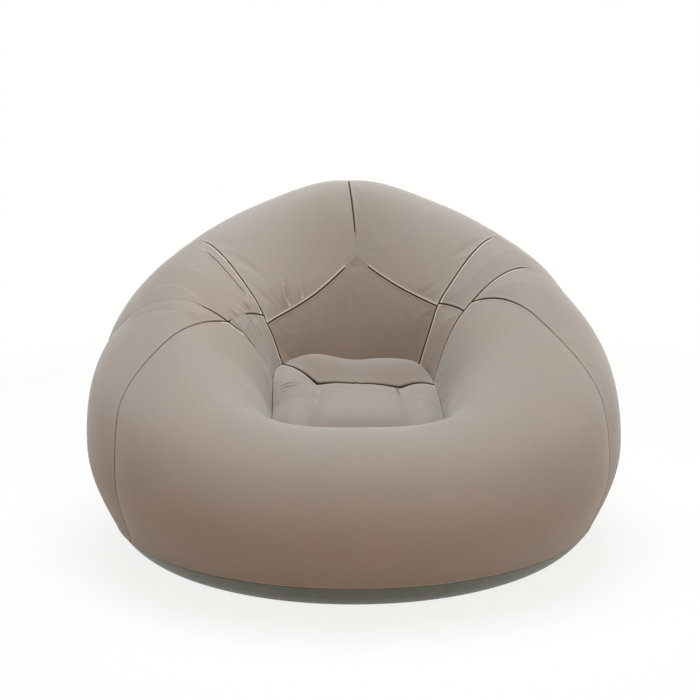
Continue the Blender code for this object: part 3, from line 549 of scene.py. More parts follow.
def seat_sheet(name, outline, height):
    """A coarse sheet over a seat piece, held at its border."""
    outline = resample(looped(outline), SHEET_CELL)[:-1, :2]
    closed = looped(outline)
    grid = staggered(outline, SHEET_CELL).transpose(1, 0, 2).reshape(-1, 2)
    grid = grid[line_distance(grid, closed) > 0.6 * SHEET_CELL]
    flat, faces = triangles(np.concatenate([outline, grid]), len(outline))
    distance = line_distance(flat, closed)
    points = np.column_stack([flat, height(*flat.T)])
    a, b, c = points[list(faces[0])]
    if np.cross(b - a, c - a)[2] < 0:
        faces = [face[::-1] for face in faces]
    sheets[name] = {"points": points, "faces": faces, "held": np.nonzero(distance < 1e-4)[0]}


def run_cloth():
    """Steps all sheets together and keeps each point's move."""
    scene = bpy.context.scene
    for name, sheet in sheets.items():
        mesh = bpy.data.meshes.new(name + "_sheet")
        mesh.from_pydata(sheet["points"].tolist(), [], sheet["faces"])
        thing = linked(name + "_sheet", mesh)
        thing.vertex_groups.new(name="held").add(sorted({int(i) for i in sheet["held"]}), 1.0, "REPLACE")
        cloth = thing.modifiers.new("cloth", "CLOTH")
        cloth.collision_settings.use_collision = False
        for word, value in CLOTH.items():
            setattr(cloth.settings, word, value)
        cloth.settings.effector_weights.gravity = 0.0
        sheet["thing"] = thing
    for step in range(1, CLOTH_FRAMES + 1):
        scene.frame_set(step)
    graph = bpy.context.evaluated_depsgraph_get()
    for sheet in sheets.values():
        thing = sheet.pop("thing")
        settled = thing.evaluated_get(graph).to_mesh()
        moved = np.empty(len(sheet["points"]) * 3)
        settled.vertices.foreach_get("co", moved)
        sheet["move"] = moved.reshape(-1, 3) - sheet["points"]
        thing.evaluated_get(graph).to_mesh_clear()
        mesh = thing.data
        bpy.data.objects.remove(thing)
        bpy.data.meshes.remove(mesh)
    scene.frame_set(1)


def capped(move):
    length = np.maximum(np.linalg.norm(move, axis=-1, keepdims=True), 1e-9)
    return move / length * MOVE_CAP * np.tanh(length / MOVE_CAP)


def grid_sample(field, u, v):
    """Smooth values of a grid of vectors at shares across and up."""
    rows, columns = field.shape[0] - 1, field.shape[1] - 1
    place_u, place_v = np.clip(u, 0, 1) * columns, np.clip(v, 0, 1) * rows
    i, j = np.minimum(place_u.astype(int), columns - 1), np.minimum(place_v.astype(int), rows - 1)
    s, t = (place_u - i)[..., None], (place_v - j)[..., None]
    lines = []
    for k in range(-1, 3):
        row = np.clip(j + k, 0, rows)
        lines.append(catmull(*(field[row, np.clip(i + m, 0, columns)] for m in range(-1, 3)), s))
    return catmull(*lines, t)


def seat_move(name, points):
    """The cloth's move at points of a seat piece, smooth between the sheet's own points."""
    sheet = sheets.get(name)
    if sheet is None:
        return 0.0
    moves = capped(sheet["move"])
    tree = tree_of(sheet["points"] * FROM_ABOVE)
    out = np.zeros((len(points), 3))
    for i, point in enumerate(points):
        found = tree.find_n((point[0], point[1], 0.0), 10)
        weights = np.exp(-((np.array([hit[2] for hit in found]) / (0.6 * SHEET_CELL)) ** 2)) + 1e-12
        out[i] = weights @ moves[[hit[1] for hit in found]] / weights.sum()
    return out


def cloth_move(name, u, v):
    sheet = sheets.get(name)
    if sheet is None:
        return 0.0
    return grid_sample(capped(sheet["move"])[sheet["grid"]], u, v)


def into_chamber(azimuth, station):
    turn = np.radians(azimuth)
    at_base = np.stack([-np.sin(turn), np.cos(turn), 0 * turn], -1)
    inward = np.where((station <= 0.0)[..., None], at_base, -skin_normal(azimuth, station))
    return np.where((station >= SEAT_SEAM)[..., None], -UP, inward)


def mesh_object(name, points, faces, seam_distance, shine):
    """A smooth object with its distance from the seams, which sets painted shade in the welds and creases,
    and its painted highlights as attributes.
    """
    mesh = bpy.data.meshes.new(name)
    mesh.from_pydata(points.tolist(), [], faces)
    put_values(mesh, "seam", seam_distance)
    put_values(mesh, "shine", shine)
    work = bmesh.new()
    work.from_mesh(mesh)
    bmesh.ops.remove_doubles(work, verts=work.verts, dist=2e-5)
    bmesh.ops.dissolve_degenerate(work, edges=work.edges, dist=1e-6)
    work.to_mesh(mesh)
    work.free()
    mesh.shade_smooth()
    return linked(name, mesh)


def paint_panel_light(mesh, painted_panel_light):
    """Paints a panel's flocking lighter or darker as a whole: painted light and shade, lighter on the crown
    and darker in the backrest and seat.
    """
    put_values(mesh, "painted_panel_light", np.full(len(mesh.vertices), painted_panel_light))


def thicken(thing):
    modifier = thing.modifiers.new("sheet", "SOLIDIFY")
    modifier.thickness = SHEET
    modifier.offset = -1.0
    modifier.use_rim = True


def declare(thing, node):
    """Says what a padded piece rides on, and hides the CAD node that it stands for."""
    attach(thing, "chair")
    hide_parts(node)


def with_flange(points, faces, ring, into, seam_distance):
    """Adds a flange of a few rows from a ring of border vertices, turned into the chamber."""
    base = points[ring]
    rows = [list(ring)]
    extra = []
    for depth in FLANGE:
        rows.append(list(range(len(points) + len(extra), len(points) + len(extra) + len(ring))))
        extra.extend(base + into * depth)
    count = len(ring)
    for low, high in zip(rows, rows[1:]):
        for i in range(count):
            k = (i + 1) % count
            faces.append((low[k], low[i], high[i], high[k]))
    points = np.concatenate([points, np.array(extra)])
    seam_distance = np.concatenate([seam_distance, np.zeros(len(extra))])
    return points, faces, seam_distance


# The valve stands in a flat round place on the left rear panel
VALVE_HOLE = 0.0203
VALVE_FLAT = 0.031
VALVE_BLEND = 0.075
PANEL_BELOW_RIM = 0.0012
CUT_DEPTH = 0.03
# The hole edge's mark, which darkens it like a seam: painted shade, partly a dark weld line
VALVE_WELD_MARK = 0.0009
valve_axis = np.array(next(joint["axis"] for joint in frame["joints"] if joint["name"] == "plug_pull"))
valve_axis = valve_axis / np.linalg.norm(valve_axis)


def valve_middle():
    """The middle of the valve's rim, from its CAD solid."""
    points = vertex_places(frame["nodes"]["valve_base"].data)
    across = unit(np.cross(valve_axis, [0.0, 0.0, 1.0]))
    up = np.cross(valve_axis, across)
    middle = [(points @ way).min() / 2 + (points @ way).max() / 2 for way in (across, up)]
    return across * middle[0] + up * middle[1] + valve_axis * (points @ valve_axis).max()


valve_rim = valve_middle()


def from_valve(points):
    away = points - valve_rim
    height = away @ valve_axis
    return height, np.linalg.norm(away - height[..., None] * valve_axis, axis=-1)


def flatten_for_valve(points):
    height, radius = from_valve(points)
    share = 1 - smooth_step(radius, VALVE_FLAT, VALVE_BLEND)
    share = np.where(np.abs(height) < VALVE_BLEND, share, 0.0)
    return points + valve_axis * ((-PANEL_BELOW_RIM - height) * share)[..., None]


def apply_modifiers(thing):
    graph = bpy.context.evaluated_depsgraph_get()
    mesh = bpy.data.meshes.new_from_object(thing.evaluated_get(graph))
    thing.modifiers.clear()
    thing.data = mesh


def cut_for_valve(thing, painted_panel_light):
    """Cuts the round hole for the valve, and marks its edge like a seam, which darkens it: painted shade,
    partly a dark weld line.
    """
    apply_modifiers(thing)
    cutter_mesh = bpy.data.meshes.new("valve_cutter")
    work = bmesh.new()
    bmesh.ops.create_cone(
        work, cap_ends=True, segments=96, radius1=VALVE_HOLE, radius2=VALVE_HOLE, depth=CUT_DEPTH
    )
    work.to_mesh(cutter_mesh)
    work.free()
    cutter = linked("valve_cutter", cutter_mesh)
    cutter.location = Vector(valve_rim - valve_axis * PANEL_BELOW_RIM)
    cutter.rotation_euler = Vector(valve_axis).to_track_quat("Z", "Y").to_euler()
    cut = thing.modifiers.new("hole", "BOOLEAN")
    cut.operation = "DIFFERENCE"
    cut.solver = "EXACT"
    cut.object = cutter
    bpy.context.view_layer.update()
    apply_modifiers(thing)
    bpy.data.objects.remove(cutter)
    bpy.data.meshes.remove(cutter_mesh)
    height, radius = from_valve(vertex_places(thing.data))
    marks = np.empty(len(radius), np.float32)
    thing.data.attributes["seam"].data.foreach_get("value", marks)
    near = (radius < VALVE_FLAT) & (np.abs(height) < VALVE_FLAT)
    marks[near] = VALVE_WELD_MARK + np.maximum(radius[near] - VALVE_HOLE, 0.0)
    put_values(thing.data, "seam", marks)
    paint_panel_light(thing.data, painted_panel_light)


# Painted highlights beside the welds: the stations from which they show, the base weld's painted highlight
# strength and reach, and where on an edge they lie
LIT_FROM = (2.6, 3.1)
BASE_WELD_LIT, BASE_WELD_ENDS = 0.35, (0.03, 0.06)
LIT_EDGE = (0.86, 0.96)
FADED_MARK = 0.01


def lit_edge(name, u, v):
    """1 beside those of a panel's edges that get a painted highlight along the weld, 0 elsewhere."""
    share = {
        "front": np.abs(2 * u - 1) * (v > FRONT_SPLIT - 0.02),
        "rear": LIT_EDGE[0] + 7 * (v - 0.978),
        "backrest": 0 * u,
    }.get(name.split("_")[0], u if name.endswith("right") else 1 - u)
    return smooth_step(share, *LIT_EDGE)


def build_panel(name, node, mapping, columns, rows, painted_panel_light):
    u, v = panel_grid(mapping, columns, rows)
    azimuth, station = mapping(u, v)
    base = skin(azimuth, station)
    distance = border_distance(mapping, base)
    normal = skin_normal(azimuth, station)
    strength, depth = seam_strength(azimuth, station)
    folds, creases, shine = skin_folds(base.reshape(-1, 3))
    # Painted highlights beside the upper welds and along the base weld
    lit = lit_edge(name, u, v) * strength * smooth_step(station, *LIT_FROM)
    lit = np.maximum(lit, BASE_WELD_LIT * (1 - smooth_step(station, *BASE_WELD_ENDS)))
    shine = np.maximum(shine, lit.ravel())
    rise = seam_rise(distance, strength, depth) + folds.reshape(u.shape)
    points = base + normal * rise[..., None] + cloth_move(name, u, v)
    if name == "rear_skin_left":
        points = flatten_for_valve(points)
    # The seam mark sets painted shade: lighter where a seam fades, and also dark in the folds' creases
    distance = np.minimum(distance + FADED_MARK * (1 - strength), creases.reshape(u.shape))
    index = np.arange(u.size).reshape(u.shape)
    ring = [*index[0, :-1], *index[:-1, -1], *index[-1, :0:-1], *index[:0:-1, 0]]
    into = into_chamber(azimuth, station).reshape(-1, 3)[ring]
    flat, faces, marks = with_flange(points.reshape(-1, 3), quads(index), ring, into, distance.ravel())
    shine = np.concatenate([shine, np.zeros(len(marks) - len(shine))])
    thing = mesh_object(name, flat, faces, marks, shine)
    paint_panel_light(thing.data, painted_panel_light)
    thicken(thing)
    if name == "rear_skin_left":
        cut_for_valve(thing, painted_panel_light)
    declare(thing, node)
    return thing


# Seat


def seat_ring(low, high, count):
    return skin(np.linspace(low, high, count), np.full(count, SEAT_SEAM))


LOBE_CORNER_X = {-1: -0.074, 1: 0.098}
REAR_LOBE_DEPTH = 0.095
REAR_LOBE_RISE, FRONT_LOBE_RISE = 0.043, 0.034
REAR_DIP, REAR_DIP_SPREAD, REAR_LEAN = 0.004, 0.035, 0.1
SEAM_ARCH, DIAGONAL_ARCH = 0.010, {-1: 0.012, 1: 0.007}
LOBE_EDGE, REAR_LOBE_EDGE, CREASE_REACH = 0.06, 0.05, 0.12
LIP_RISE, LIP_REACH, LOBE_SLOPE = 0.0050, 0.016, 0.28
REAR_FRONT_REACH = 0.060
VALLEY_SPREAD, VALLEY_DEPTH = 0.02, 0.014
VALLEY_END_AZIMUTH = 30.5
SEAT_CELL, SEAT_BORDER_STEP, SEAT_FOLD_STEP = 0.0028, 0.003, 0.0016
SEAT_LAST_ROW, SEAT_GRID_FROM = 0.0135, 0.0165
# How far the front seat piece's painted highlight reaches, where the cloth's move is held, and how far
# painted shadow spreads on the rear piece
SEAT_LIT_TO, SEAT_HELD, PAINTED_SHADOW_SCALE = (0.008, 0.012), (0.0, 0.008), 0.28
FOLD_ROWS = (-2.1, -1.4, -0.7, 0.0, 0.7, 1.4, 2.1)
DIAGONAL_AZIMUTH = {-1: 137.0, 1: 124.0}


def seat_base(x, y):
    away_x, away_y = x, CENTRE_Y - y
    azimuth = np.degrees(np.arctan2(away_x, away_y))
    share = np.hypot(away_x, away_y) / seat_radius(azimuth)
    middle = SEAT_HEIGHT * sum(SEAT_HEIGHT_SHARES) / len(SEAT_HEIGHT_SHARES)
    return mix(middle, seat_edge_height(azimuth), share * share)


def lobe_corner(side):
    y = CENTRE_Y + SEAT_DEPTH / 2 - REAR_LOBE_DEPTH
    x = LOBE_CORNER_X[side]
    return np.array([x, y, seat_base(np.array(x), np.array(y))])


def line_distance(points, line):
    """Least distances from 2-D points to a line of 2-D points."""
    least = np.full(len(points), 9.0)
    for a, b in zip(line, line[1:]):
        run = b - a
        share = np.clip(((points - a) @ run) / (run @ run), 0, 1)
        least = np.minimum(least, np.linalg.norm(points - a - share[:, None] * run, axis=1))
    return least


def dome(distance, edge):
    share = np.minimum(distance / edge, 1.0)
    return np.sqrt(1 - (1 - share) ** 2)


def looped(line):
    return np.concatenate([line, line[:1]])


def resample(line, step):
    line = np.array(line)
    lengths = arc(line[None])[0]
    count = max(int(round(lengths[-1] / step)), 1)
    wanted = np.linspace(0, lengths[-1], count + 1)
    return np.stack([np.interp(wanted, lengths, line[:, k]) for k in range(line.shape[1])], -1)


def seat_inside(points, closed):
    """Whether 2-D points lie inside a closed line."""
    inside = np.zeros(len(points), bool)
    for a, b in zip(closed, closed[1:]):
        crosses = (a[1] > points[:, 1]) != (b[1] > points[:, 1])
        if a[1] != b[1]:
            at = a[0] + (points[:, 1] - a[1]) * (b[0] - a[0]) / (b[1] - a[1])
            inside ^= crosses & (points[:, 0] < at)
    return inside


def seat_piece(name, node, outline, height, painted_panel_light):
    """A sheet over a closed outline of 3-D points, with close rows beside its border."""
    outline = resample(looped(outline), SEAT_BORDER_STEP)[:-1]
    flat = outline[:, :2]
    closed = looped(flat)
    forward = np.roll(flat, -1, 0) - np.roll(flat, 1, 0)
    inward = unit(np.stack([-forward[:, 1], forward[:, 0]], -1))
    area = np.sum(flat[:, 0] * np.roll(flat[:, 1], -1) - np.roll(flat[:, 0], -1) * flat[:, 1])
    inward = inward * np.sign(area)
    rows = [flat + inward * GAP]
    for step in (*EDGE_STEPS[2:], SEAT_LAST_ROW):
        row = flat + inward * step
        rows.append(row[line_distance(row, closed) > 0.96 * step])
    grid = staggered(flat, SEAT_CELL).reshape(-1, 2)
    grid = grid[line_distance(grid, closed) > SEAT_GRID_FROM]
    for line, width, *_ in SEAT_FOLDS:
        fold = np.stack([along(values, np.linspace(0, 1, 20)) for values in zip(*line)], -1)
        fold = resample(fold, SEAT_FOLD_STEP)
        run = unit(np.gradient(fold, axis=0))
        aside = np.stack([-run[:, 1], run[:, 0]], -1)
        beside = np.concatenate([fold + aside * width * k for k in FOLD_ROWS])
        kept = (line_distance(beside, closed) > SEAT_GRID_FROM) & seat_inside(beside, closed)
        grid = grid[line_distance(grid, fold) > 2.6 * width]
        grid = np.concatenate([grid, beside[kept]])
    made, faces = triangles(np.concatenate([*rows, grid]), len(flat))
    distance = line_distance(made, closed)
    bead = BEAD_HEIGHT * np.exp(-(((distance - BEAD_AT) / BEAD_SPREAD) ** 2))
    folds, creases, shine = seat_folds(*made.T)
    from_seam = line_distance(made, seams_behind())
    # Painted highlight on the front piece along its seam with the rear piece
    if name == "seat_front_skin":
        shine = np.maximum(shine, 1 - smooth_step(from_seam, *SEAT_LIT_TO))
    else:
        # Painted shadow on the rear piece beside its seam with the front piece, whose crest hangs over it
        creases = np.minimum(creases, PAINTED_SHADOW_SCALE * from_seam + 0.0002)
    z = height(*made.T) - groove(distance) + bead + folds
    nearest = tree_of(outline * FROM_ABOVE)
    for i in np.nonzero(distance < GAP * 1.6)[0]:
        z[i] = outline[nearest.find((*made[i], 0.0))[1]][2] - ROUND_OVER
    solid = np.column_stack([made, z]) + seat_move(name, made) * smooth_step(distance, *SEAT_HELD)[:, None]
    work = bmesh.new()
    verts = [work.verts.new(p) for p in solid]
    for face in faces:
        work.faces.new([verts[i] for i in face])
    work.normal_update()
    if sum(face.normal.z for face in work.faces) < 0:
        bmesh.ops.reverse_faces(work, faces=work.faces)
    seam_edges = [edge for edge in work.edges if edge.is_boundary]
    last = {vert: vert for edge in seam_edges for vert in edge.verts}
    for depth in FLANGE:
        fresh = {v: work.verts.new((v.co.x, v.co.y, v.co.z - depth)) for v in last}
        for edge in seam_edges:
            a, b = edge.link_loops[0].vert, edge.link_loops[0].link_loop_next.vert
            work.faces.new((last[b], last[a], fresh[a], fresh[b]))
        last = fresh
    mesh = bpy.data.meshes.new(name)
    work.to_mesh(mesh)
    work.free()
    flange = np.zeros(len(mesh.vertices) - len(made))
    put_values(mesh, "seam", np.concatenate([np.minimum(distance, creases), flange]))
    put_values(mesh, "shine", np.concatenate([shine, flange]))
    mesh.shade_smooth()
    thing = linked(name, mesh)
    paint_panel_light(mesh, painted_panel_light)
    thicken(thing)
    declare(thing, node)
    return thing


def arched(start, end, arch):
    share = np.linspace(0, 1, 17)
    line = mix(start, end, share[:, None])
    line[:, 2] += arch * np.sin(np.pi * share)
    return line


def diagonal(side):
    corner = skin(DIAGONAL_AZIMUTH[side] * side, SEAT_SEAM)
    return arched(corner, lobe_corner(side), DIAGONAL_ARCH[side])


def rear_front_seam():
    return arched(lobe_corner(-1), lobe_corner(1), SEAM_ARCH)


def valley(side):
    end = skin(side * VALLEY_END_AZIMUTH, SEAT_SEAM)[:2]
    return mix(lobe_corner(side)[:2], end, np.linspace(0, 1, 9)[:, None])


def arch_rise(points, reach):
    """The seat seams' own arches, fading away from the seams."""
    rise = 0.0
    for line, arch in (
        ((lobe_corner(-1), lobe_corner(1)), SEAM_ARCH),
        ((lobe_corner(-1), diagonal(-1)[0]), DIAGONAL_ARCH[-1]),
        ((lobe_corner(1), diagonal(1)[0]), DIAGONAL_ARCH[1]),
    ):
        start, run = line[0][:2], line[1][:2] - line[0][:2]
        share = np.clip(((points - start) @ run) / (run @ run), 0, 1)
        away = np.linalg.norm(points - start - share[:, None] * run, axis=1)
        rise = rise + arch * np.sin(np.pi * share) * (1 - dome(away, reach))
    return rise


def seams_behind():
    """The seams between the seat's front and rear pieces, as one line from above."""
    return np.concatenate([diagonal(-1), rear_front_seam()[1:], diagonal(1)[::-1][1:]])[:, :2]


def front_height(x, y):
    points = np.stack([x, y], -1)
    from_seam = line_distance(points, seams_behind())
    from_ring = line_distance(points, ring_front[::6, :2])
    rise = (LOBE_SLOPE * from_seam + LIP_RISE * dome(from_seam, LIP_REACH)) / FRONT_LOBE_RISE
    rise = FRONT_LOBE_RISE * np.tanh(rise) * dome(from_ring, LOBE_EDGE)
    fold = np.minimum(line_distance(points, valley(-1)), line_distance(points, valley(1)))
    rise = rise - VALLEY_DEPTH * np.exp(-((fold / VALLEY_SPREAD) ** 2)) * rise / FRONT_LOBE_RISE
    return seat_base(x, y) + rise + arch_rise(points, CREASE_REACH)


def rear_height(x, y):
    points = np.stack([x, y], -1)
    from_front = line_distance(points, seams_behind())
    slope = np.sin(np.pi / 2 * np.minimum(from_front / REAR_FRONT_REACH, 1.0))
    from_ring = line_distance(points, ring_rear[::4, :2])
    rise = REAR_LOBE_RISE - REAR_DIP * np.exp(-((x / REAR_DIP_SPREAD) ** 2)) + REAR_LEAN * np.minimum(x, 0)
    rise = rise * slope * dome(from_ring, REAR_LOBE_EDGE)
    return seat_base(x, y) + rise + arch_rise(points, CREASE_REACH)


# Materials


def new_material(name):
    material = bpy.data.materials.new(name)
    material.use_nodes = True
    tree = material.node_tree
    shader = tree.nodes["Principled BSDF"]
    return material, tree, shader


def ramp(tree, source, stops):
    made = tree.nodes.new("ShaderNodeValToRGB")
    elements = made.color_ramp.elements
    while len(elements) > 1:
        elements.remove(elements[-1])
    elements[0].position, elements[0].color = stops[0]
    for position, colour in stops[1:]:
        elements.new(position).color = colour
    tree.links.new(source, made.inputs["Fac"])
    return made.outputs["Color"]


def grey(value):
    return (value, value, value, 1.0)


def set_inputs(node, values):
    for word, value in values.items():
        node.inputs[word].default_value = value


def noise(tree, coordinates, scale, detail=2.0, roughness=0.5):
    made = tree.nodes.new("ShaderNodeTexNoise")
    set_inputs(made, {"Scale": scale, "Detail": detail, "Roughness": roughness})
    tree.links.new(coordinates, made.inputs["Vector"])
    return made.outputs["Fac"]


def attribute(tree, word):
    made = tree.nodes.new("ShaderNodeAttribute")
    made.attribute_name = word
    return made.outputs["Fac"]


def add_bump(tree, shader, height, strength, distance):
    bump = tree.nodes.new("ShaderNodeBump")
    set_inputs(bump, {"Strength": strength, "Distance": distance})
    tree.links.new(height, bump.inputs["Height"])
    tree.links.new(bump.outputs["Normal"], shader.inputs["Normal"])


def put_in(tree, socket, value):
    """Links a socket's value or writes a plain one."""
    if isinstance(value, bpy.types.NodeSocket):
        tree.links.new(value, socket)
    else:
        socket.default_value = value


def mixed(tree, blend_type, factor, a, b):
    made = tree.nodes.new("ShaderNodeMix")
    made.data_type = "RGBA"
    made.blend_type = blend_type
    for socket, value in ((0, factor), (6, a), (7, b)):
        put_in(tree, made.inputs[socket], value)
    return made.outputs[2]


def math_node(tree, operation, *values):
    made = tree.nodes.new("ShaderNodeMath")
    made.operation = operation
    for socket, value in zip(made.inputs, values):
        put_in(tree, socket, value)
    return made.outputs[0]


FLOCK = (0.514, 0.398, 0.330, 1.0)
FLOCK_WARM = (0.524, 0.401, 0.330, 1.0)
FLOCK_COOL = (0.502, 0.395, 0.332, 1.0)
PAINTED_HIGHLIGHT = (0.98, 0.88, 0.79, 1.0)
PAINTED_HIGHLIGHT_SHARE = 0.55
# Shades by the distance from a seam in centimetres (painted shade in the welds and creases, partly the dark
# weld line, and a painted highlight on the bead beside), by half the panel's painted light, and where a
# painted highlight shows
SEAM_PAINTED_SHADES = [
    (0.0, (0.05, 0.03, 0.02, 1.0)),
    (0.11, (0.10, 0.07, 0.05, 1.0)),
    (0.19, (0.70, 0.66, 0.62, 1.0)),
    (0.24, grey(0.90)),
    (0.62, grey(0.82)),
]
# Painted light and shade by panel: darker and warmer below a half, lighter and cooler above
PANEL_LIGHT_SHADES = [
    (0.425, (0.845, 0.815, 0.785, 1.0)),
    (0.45, grey(0.90)),
    (0.5, grey(1.0)),
    (0.55, (1.08, 1.13, 1.16, 1.0)),
]
PAINTED_HIGHLIGHT_AT = [(0.16, grey(0.0)), (0.21, grey(1.0)), (0.42, grey(1.0)), (0.52, grey(0.0))]


def flocked_vinyl():
    """Short velvet flocking: speckled, with painted light and shade panel by panel, painted shade in the
    welds and creases, and painted highlights beside some welds and on fold lips.
    """
    material, tree, shader = new_material("flocked_vinyl_look")
    place = tree.nodes.new("ShaderNodeTexCoord").outputs["Object"]
    tones = [(0.35, FLOCK_COOL), (0.5, FLOCK), (0.65, FLOCK_WARM)]
    patches = ramp(tree, noise(tree, place, 9.0, 3.0), tones)
    speckle = ramp(tree, noise(tree, place, 1400.0), [(0.3, grey(0.80)), (0.7, grey(1.0))])
    distance = math_node(tree, "MULTIPLY", attribute(tree, "seam"), 100.0)
    # Each panel's painted light, which makes the whole panel lighter or darker
    painted_panel_light = math_node(tree, "MULTIPLY", attribute(tree, "painted_panel_light"), 0.5)
    colour = mixed(tree, "MULTIPLY", 1.0, patches, speckle)
    # Painted shade in the welds and creases, partly the dark weld line, with a painted highlight on the
    # bead beside
    colour = mixed(tree, "MULTIPLY", 1.0, colour, ramp(tree, distance, SEAM_PAINTED_SHADES))
    colour = mixed(tree, "MULTIPLY", 1.0, colour, ramp(tree, painted_panel_light, PANEL_LIGHT_SHADES))
    # A painted highlight line beside the welds and on fold lips, where the shine attribute puts it
    line = math_node(tree, "MULTIPLY", ramp(tree, distance, PAINTED_HIGHLIGHT_AT), attribute(tree, "shine"))
    line = math_node(tree, "MULTIPLY", line, PAINTED_HIGHLIGHT_SHARE)
    tree.links.new(mixed(tree, "MIX", line, colour, PAINTED_HIGHLIGHT), shader.inputs["Base Color"])
    looks = {"Roughness": 0.92, "Specular IOR Level": 0.12, "Sheen Weight": 0.35, "Sheen Roughness": 0.4}
    set_inputs(shader, {**looks, "Sheen Tint": (0.93, 0.95, 0.94, 1.0)})
    fibres = noise(tree, place, 900.0, 3.0, 0.6)
    drag = noise(tree, place, 60.0, 4.0, 0.55)
    height = math_node(tree, "ADD", fibres, math_node(tree, "MULTIPLY", drag, 0.8))
    add_bump(tree, shader, height, 0.25, 0.0006)
    return material


def smooth_vinyl(name, colour, colour_two, roughness, grain):
    material, tree, shader = new_material(name)
    place = tree.nodes.new("ShaderNodeTexCoord").outputs["Object"]
    patches = ramp(tree, noise(tree, place, 25.0, 3.0), [(0.35, colour), (0.65, colour_two)])
    tree.links.new(patches, shader.inputs["Base Color"])
    shader.inputs["Specular IOR Level"].default_value = 0.25
    tones = [(0.3, grey(roughness - 0.05)), (0.7, grey(roughness + 0.06))]
    tree.links.new(ramp(tree, noise(tree, place, 120.0), tones), shader.inputs["Roughness"])
    add_bump(tree, shader, noise(tree, place, grain), 0.2, 0.0003)
    return material


def base_piece():
    """The smooth vinyl base: a low band curved in under the seam to a flat foot."""
    azimuths = np.linspace(0, 360, 361)[:-1]
    seam_at, belly = stations(azimuths)[:2]
    seam_r, seam_z = seam_at.T
    foot = belly[:, 0] * FOOT_SHARE
    middle_r, middle_z = mix(foot, seam_r, BAND_RADIUS_SHARE), seam_z * BAND_HEIGHT_SHARE
    pull_r, pull_z = 2 * middle_r - (foot + seam_r) / 2, 2 * middle_z - seam_z / 2
    inward = into_chamber(azimuths, 0 * azimuths)
    rings, marks = [], []
    for depth in FLANGE[::-1]:
        rings.append(at_azimuth(azimuths, seam_r, seam_z) + inward * (ROUND_OVER + depth))
        marks.append(0 * azimuths)
    for t in np.concatenate([1 - EDGE_STEPS[1:] / BAND_LENGTH, np.linspace(0.9, 0, 24)]):
        away = (1 - t) * BAND_LENGTH
        r = (1 - t) ** 2 * foot + 2 * t * (1 - t) * pull_r + t * t * seam_r
        z = 2 * t * (1 - t) * pull_z + t * t * seam_z
        ring = at_azimuth(azimuths, r, z) + inward * groove(away)
        ring[:, 2] = np.maximum(ring[:, 2], 0.0)
        rings.append(ring)
        marks.append(away + 0 * azimuths)
    for share in (0.75, 0.5, 0.25):
        rings.append(at_azimuth(azimuths, foot * share, 0 * foot))
        marks.append(BASE_MARK + 0 * azimuths)
    points = np.concatenate([*rings, [[0.0, CENTRE_Y, 0.0]]])
    marks = np.concatenate([*marks, [BASE_MARK]])
    index = np.arange(len(rings) * len(azimuths)).reshape(len(rings), -1)
    index = np.column_stack([index, index[:, :1]])
    middle = [(len(points) - 1, b, a) for a, b in zip(index[-1], index[-1, 1:])]
    faces = quads(index[::-1]) + middle
    thing = mesh_object("base_skin", points, faces, marks, 0 * marks)
    thicken(thing)
    declare(thing, "base_panel")
    return thing


flocked = flocked_vinyl()
base_look = smooth_vinyl("base_vinyl_look", (0.14, 0.15, 0.115, 1), (0.165, 0.172, 0.135, 1), 0.42, 700.0)
web_look = smooth_vinyl("web_vinyl_look", (0.4, 0.4, 0.36, 1), (0.45, 0.45, 0.4, 1), 0.4, 500.0)
plastic_look = smooth_vinyl("valve_plastic_look", (0.19, 0.19, 0.17, 1), (0.22, 0.22, 0.2, 1), 0.35, 900.0)
rubber_look = smooth_vinyl("valve_rubber_look", (0.15, 0.15, 0.14, 1), (0.18, 0.18, 0.165, 1), 0.5, 900.0)

# Each flocked panel: its name, the CAD node that it stands for, its map, its columns and rows, and its
# share of painted light
PANELS = [("front_skin", "front_panel", front_map, 250, 170, 1.0)]
for side, word in ((-1, "left"), (1, "right")):
    PANELS += [
        (f"side_skin_{word}", f"side_panel_{word}", sided(side_map, side), 80, 140, 1.03),
        (f"shoulder_skin_{word}", f"shoulder_panel_{word}", sided(shoulder_map, side), 150, 180, 1.02),
        (f"gusset_skin_{word}", f"gusset_{word}", sided(gusset_map, side), 64, 80, 0.97),
        (f"rear_skin_{word}", f"rear_panel_{word}", sided(rear_map, side), 110, 190, 1.1),
    ]
PANELS.append(("backrest_skin", "backrest_panel", backrest_map, 130, 90, 0.85))
ring_front = seat_ring(-DIAGONAL_AZIMUTH[-1], DIAGONAL_AZIMUTH[1], 400)
ring_rear = seat_ring(DIAGONAL_AZIMUTH[1], 360 - DIAGONAL_AZIMUTH[-1], 140)
front_outline = np.concatenate(
    [ring_front, diagonal(1)[1:], rear_front_seam()[::-1][1:], diagonal(-1)[::-1][1:-1]]
)
rear_outline = np.concatenate([ring_rear, diagonal(-1)[1:], rear_front_seam()[1:], diagonal(1)[::-1][1:-1]])
for name, _, mapping, *_ in PANELS:
    sheet_grid(name, mapping)
seat_sheet("seat_front_skin", front_outline, front_height)
seat_sheet("seat_rear_skin", rear_outline, rear_height)
run_cloth()
pieces = [build_panel(*panel) for panel in PANELS]
pieces.append(seat_piece("seat_front_skin", "seat_front_panel", front_outline, front_height, 0.95))
pieces.append(seat_piece("seat_rear_skin", "seat_rear_panel", rear_outline, rear_height, 0.90))
for piece in pieces:
    piece.data.materials.append(flocked)
base_piece().data.materials.append(base_look)

for look, names in (
    (web_look, ("seat_web_rear", "seat_web_left", "seat_web_right")),
    (plastic_look, ("valve_base", "valve_plug")),
    (rubber_look, ("valve_cap", "valve_flap")),
):
    for name in names:
        for slot in frame["nodes"][name].material_slots:
            slot.material = look

# Stage, light and camera

BACKDROP = (1.0, 1.0, 0.982, 1.0)
FLOOR_GREY = (0.60, 0.51, 0.45, 1.0)
SHADOW_SHARE = 0.16
SHADOW_REACH = (1.1, 2.2)


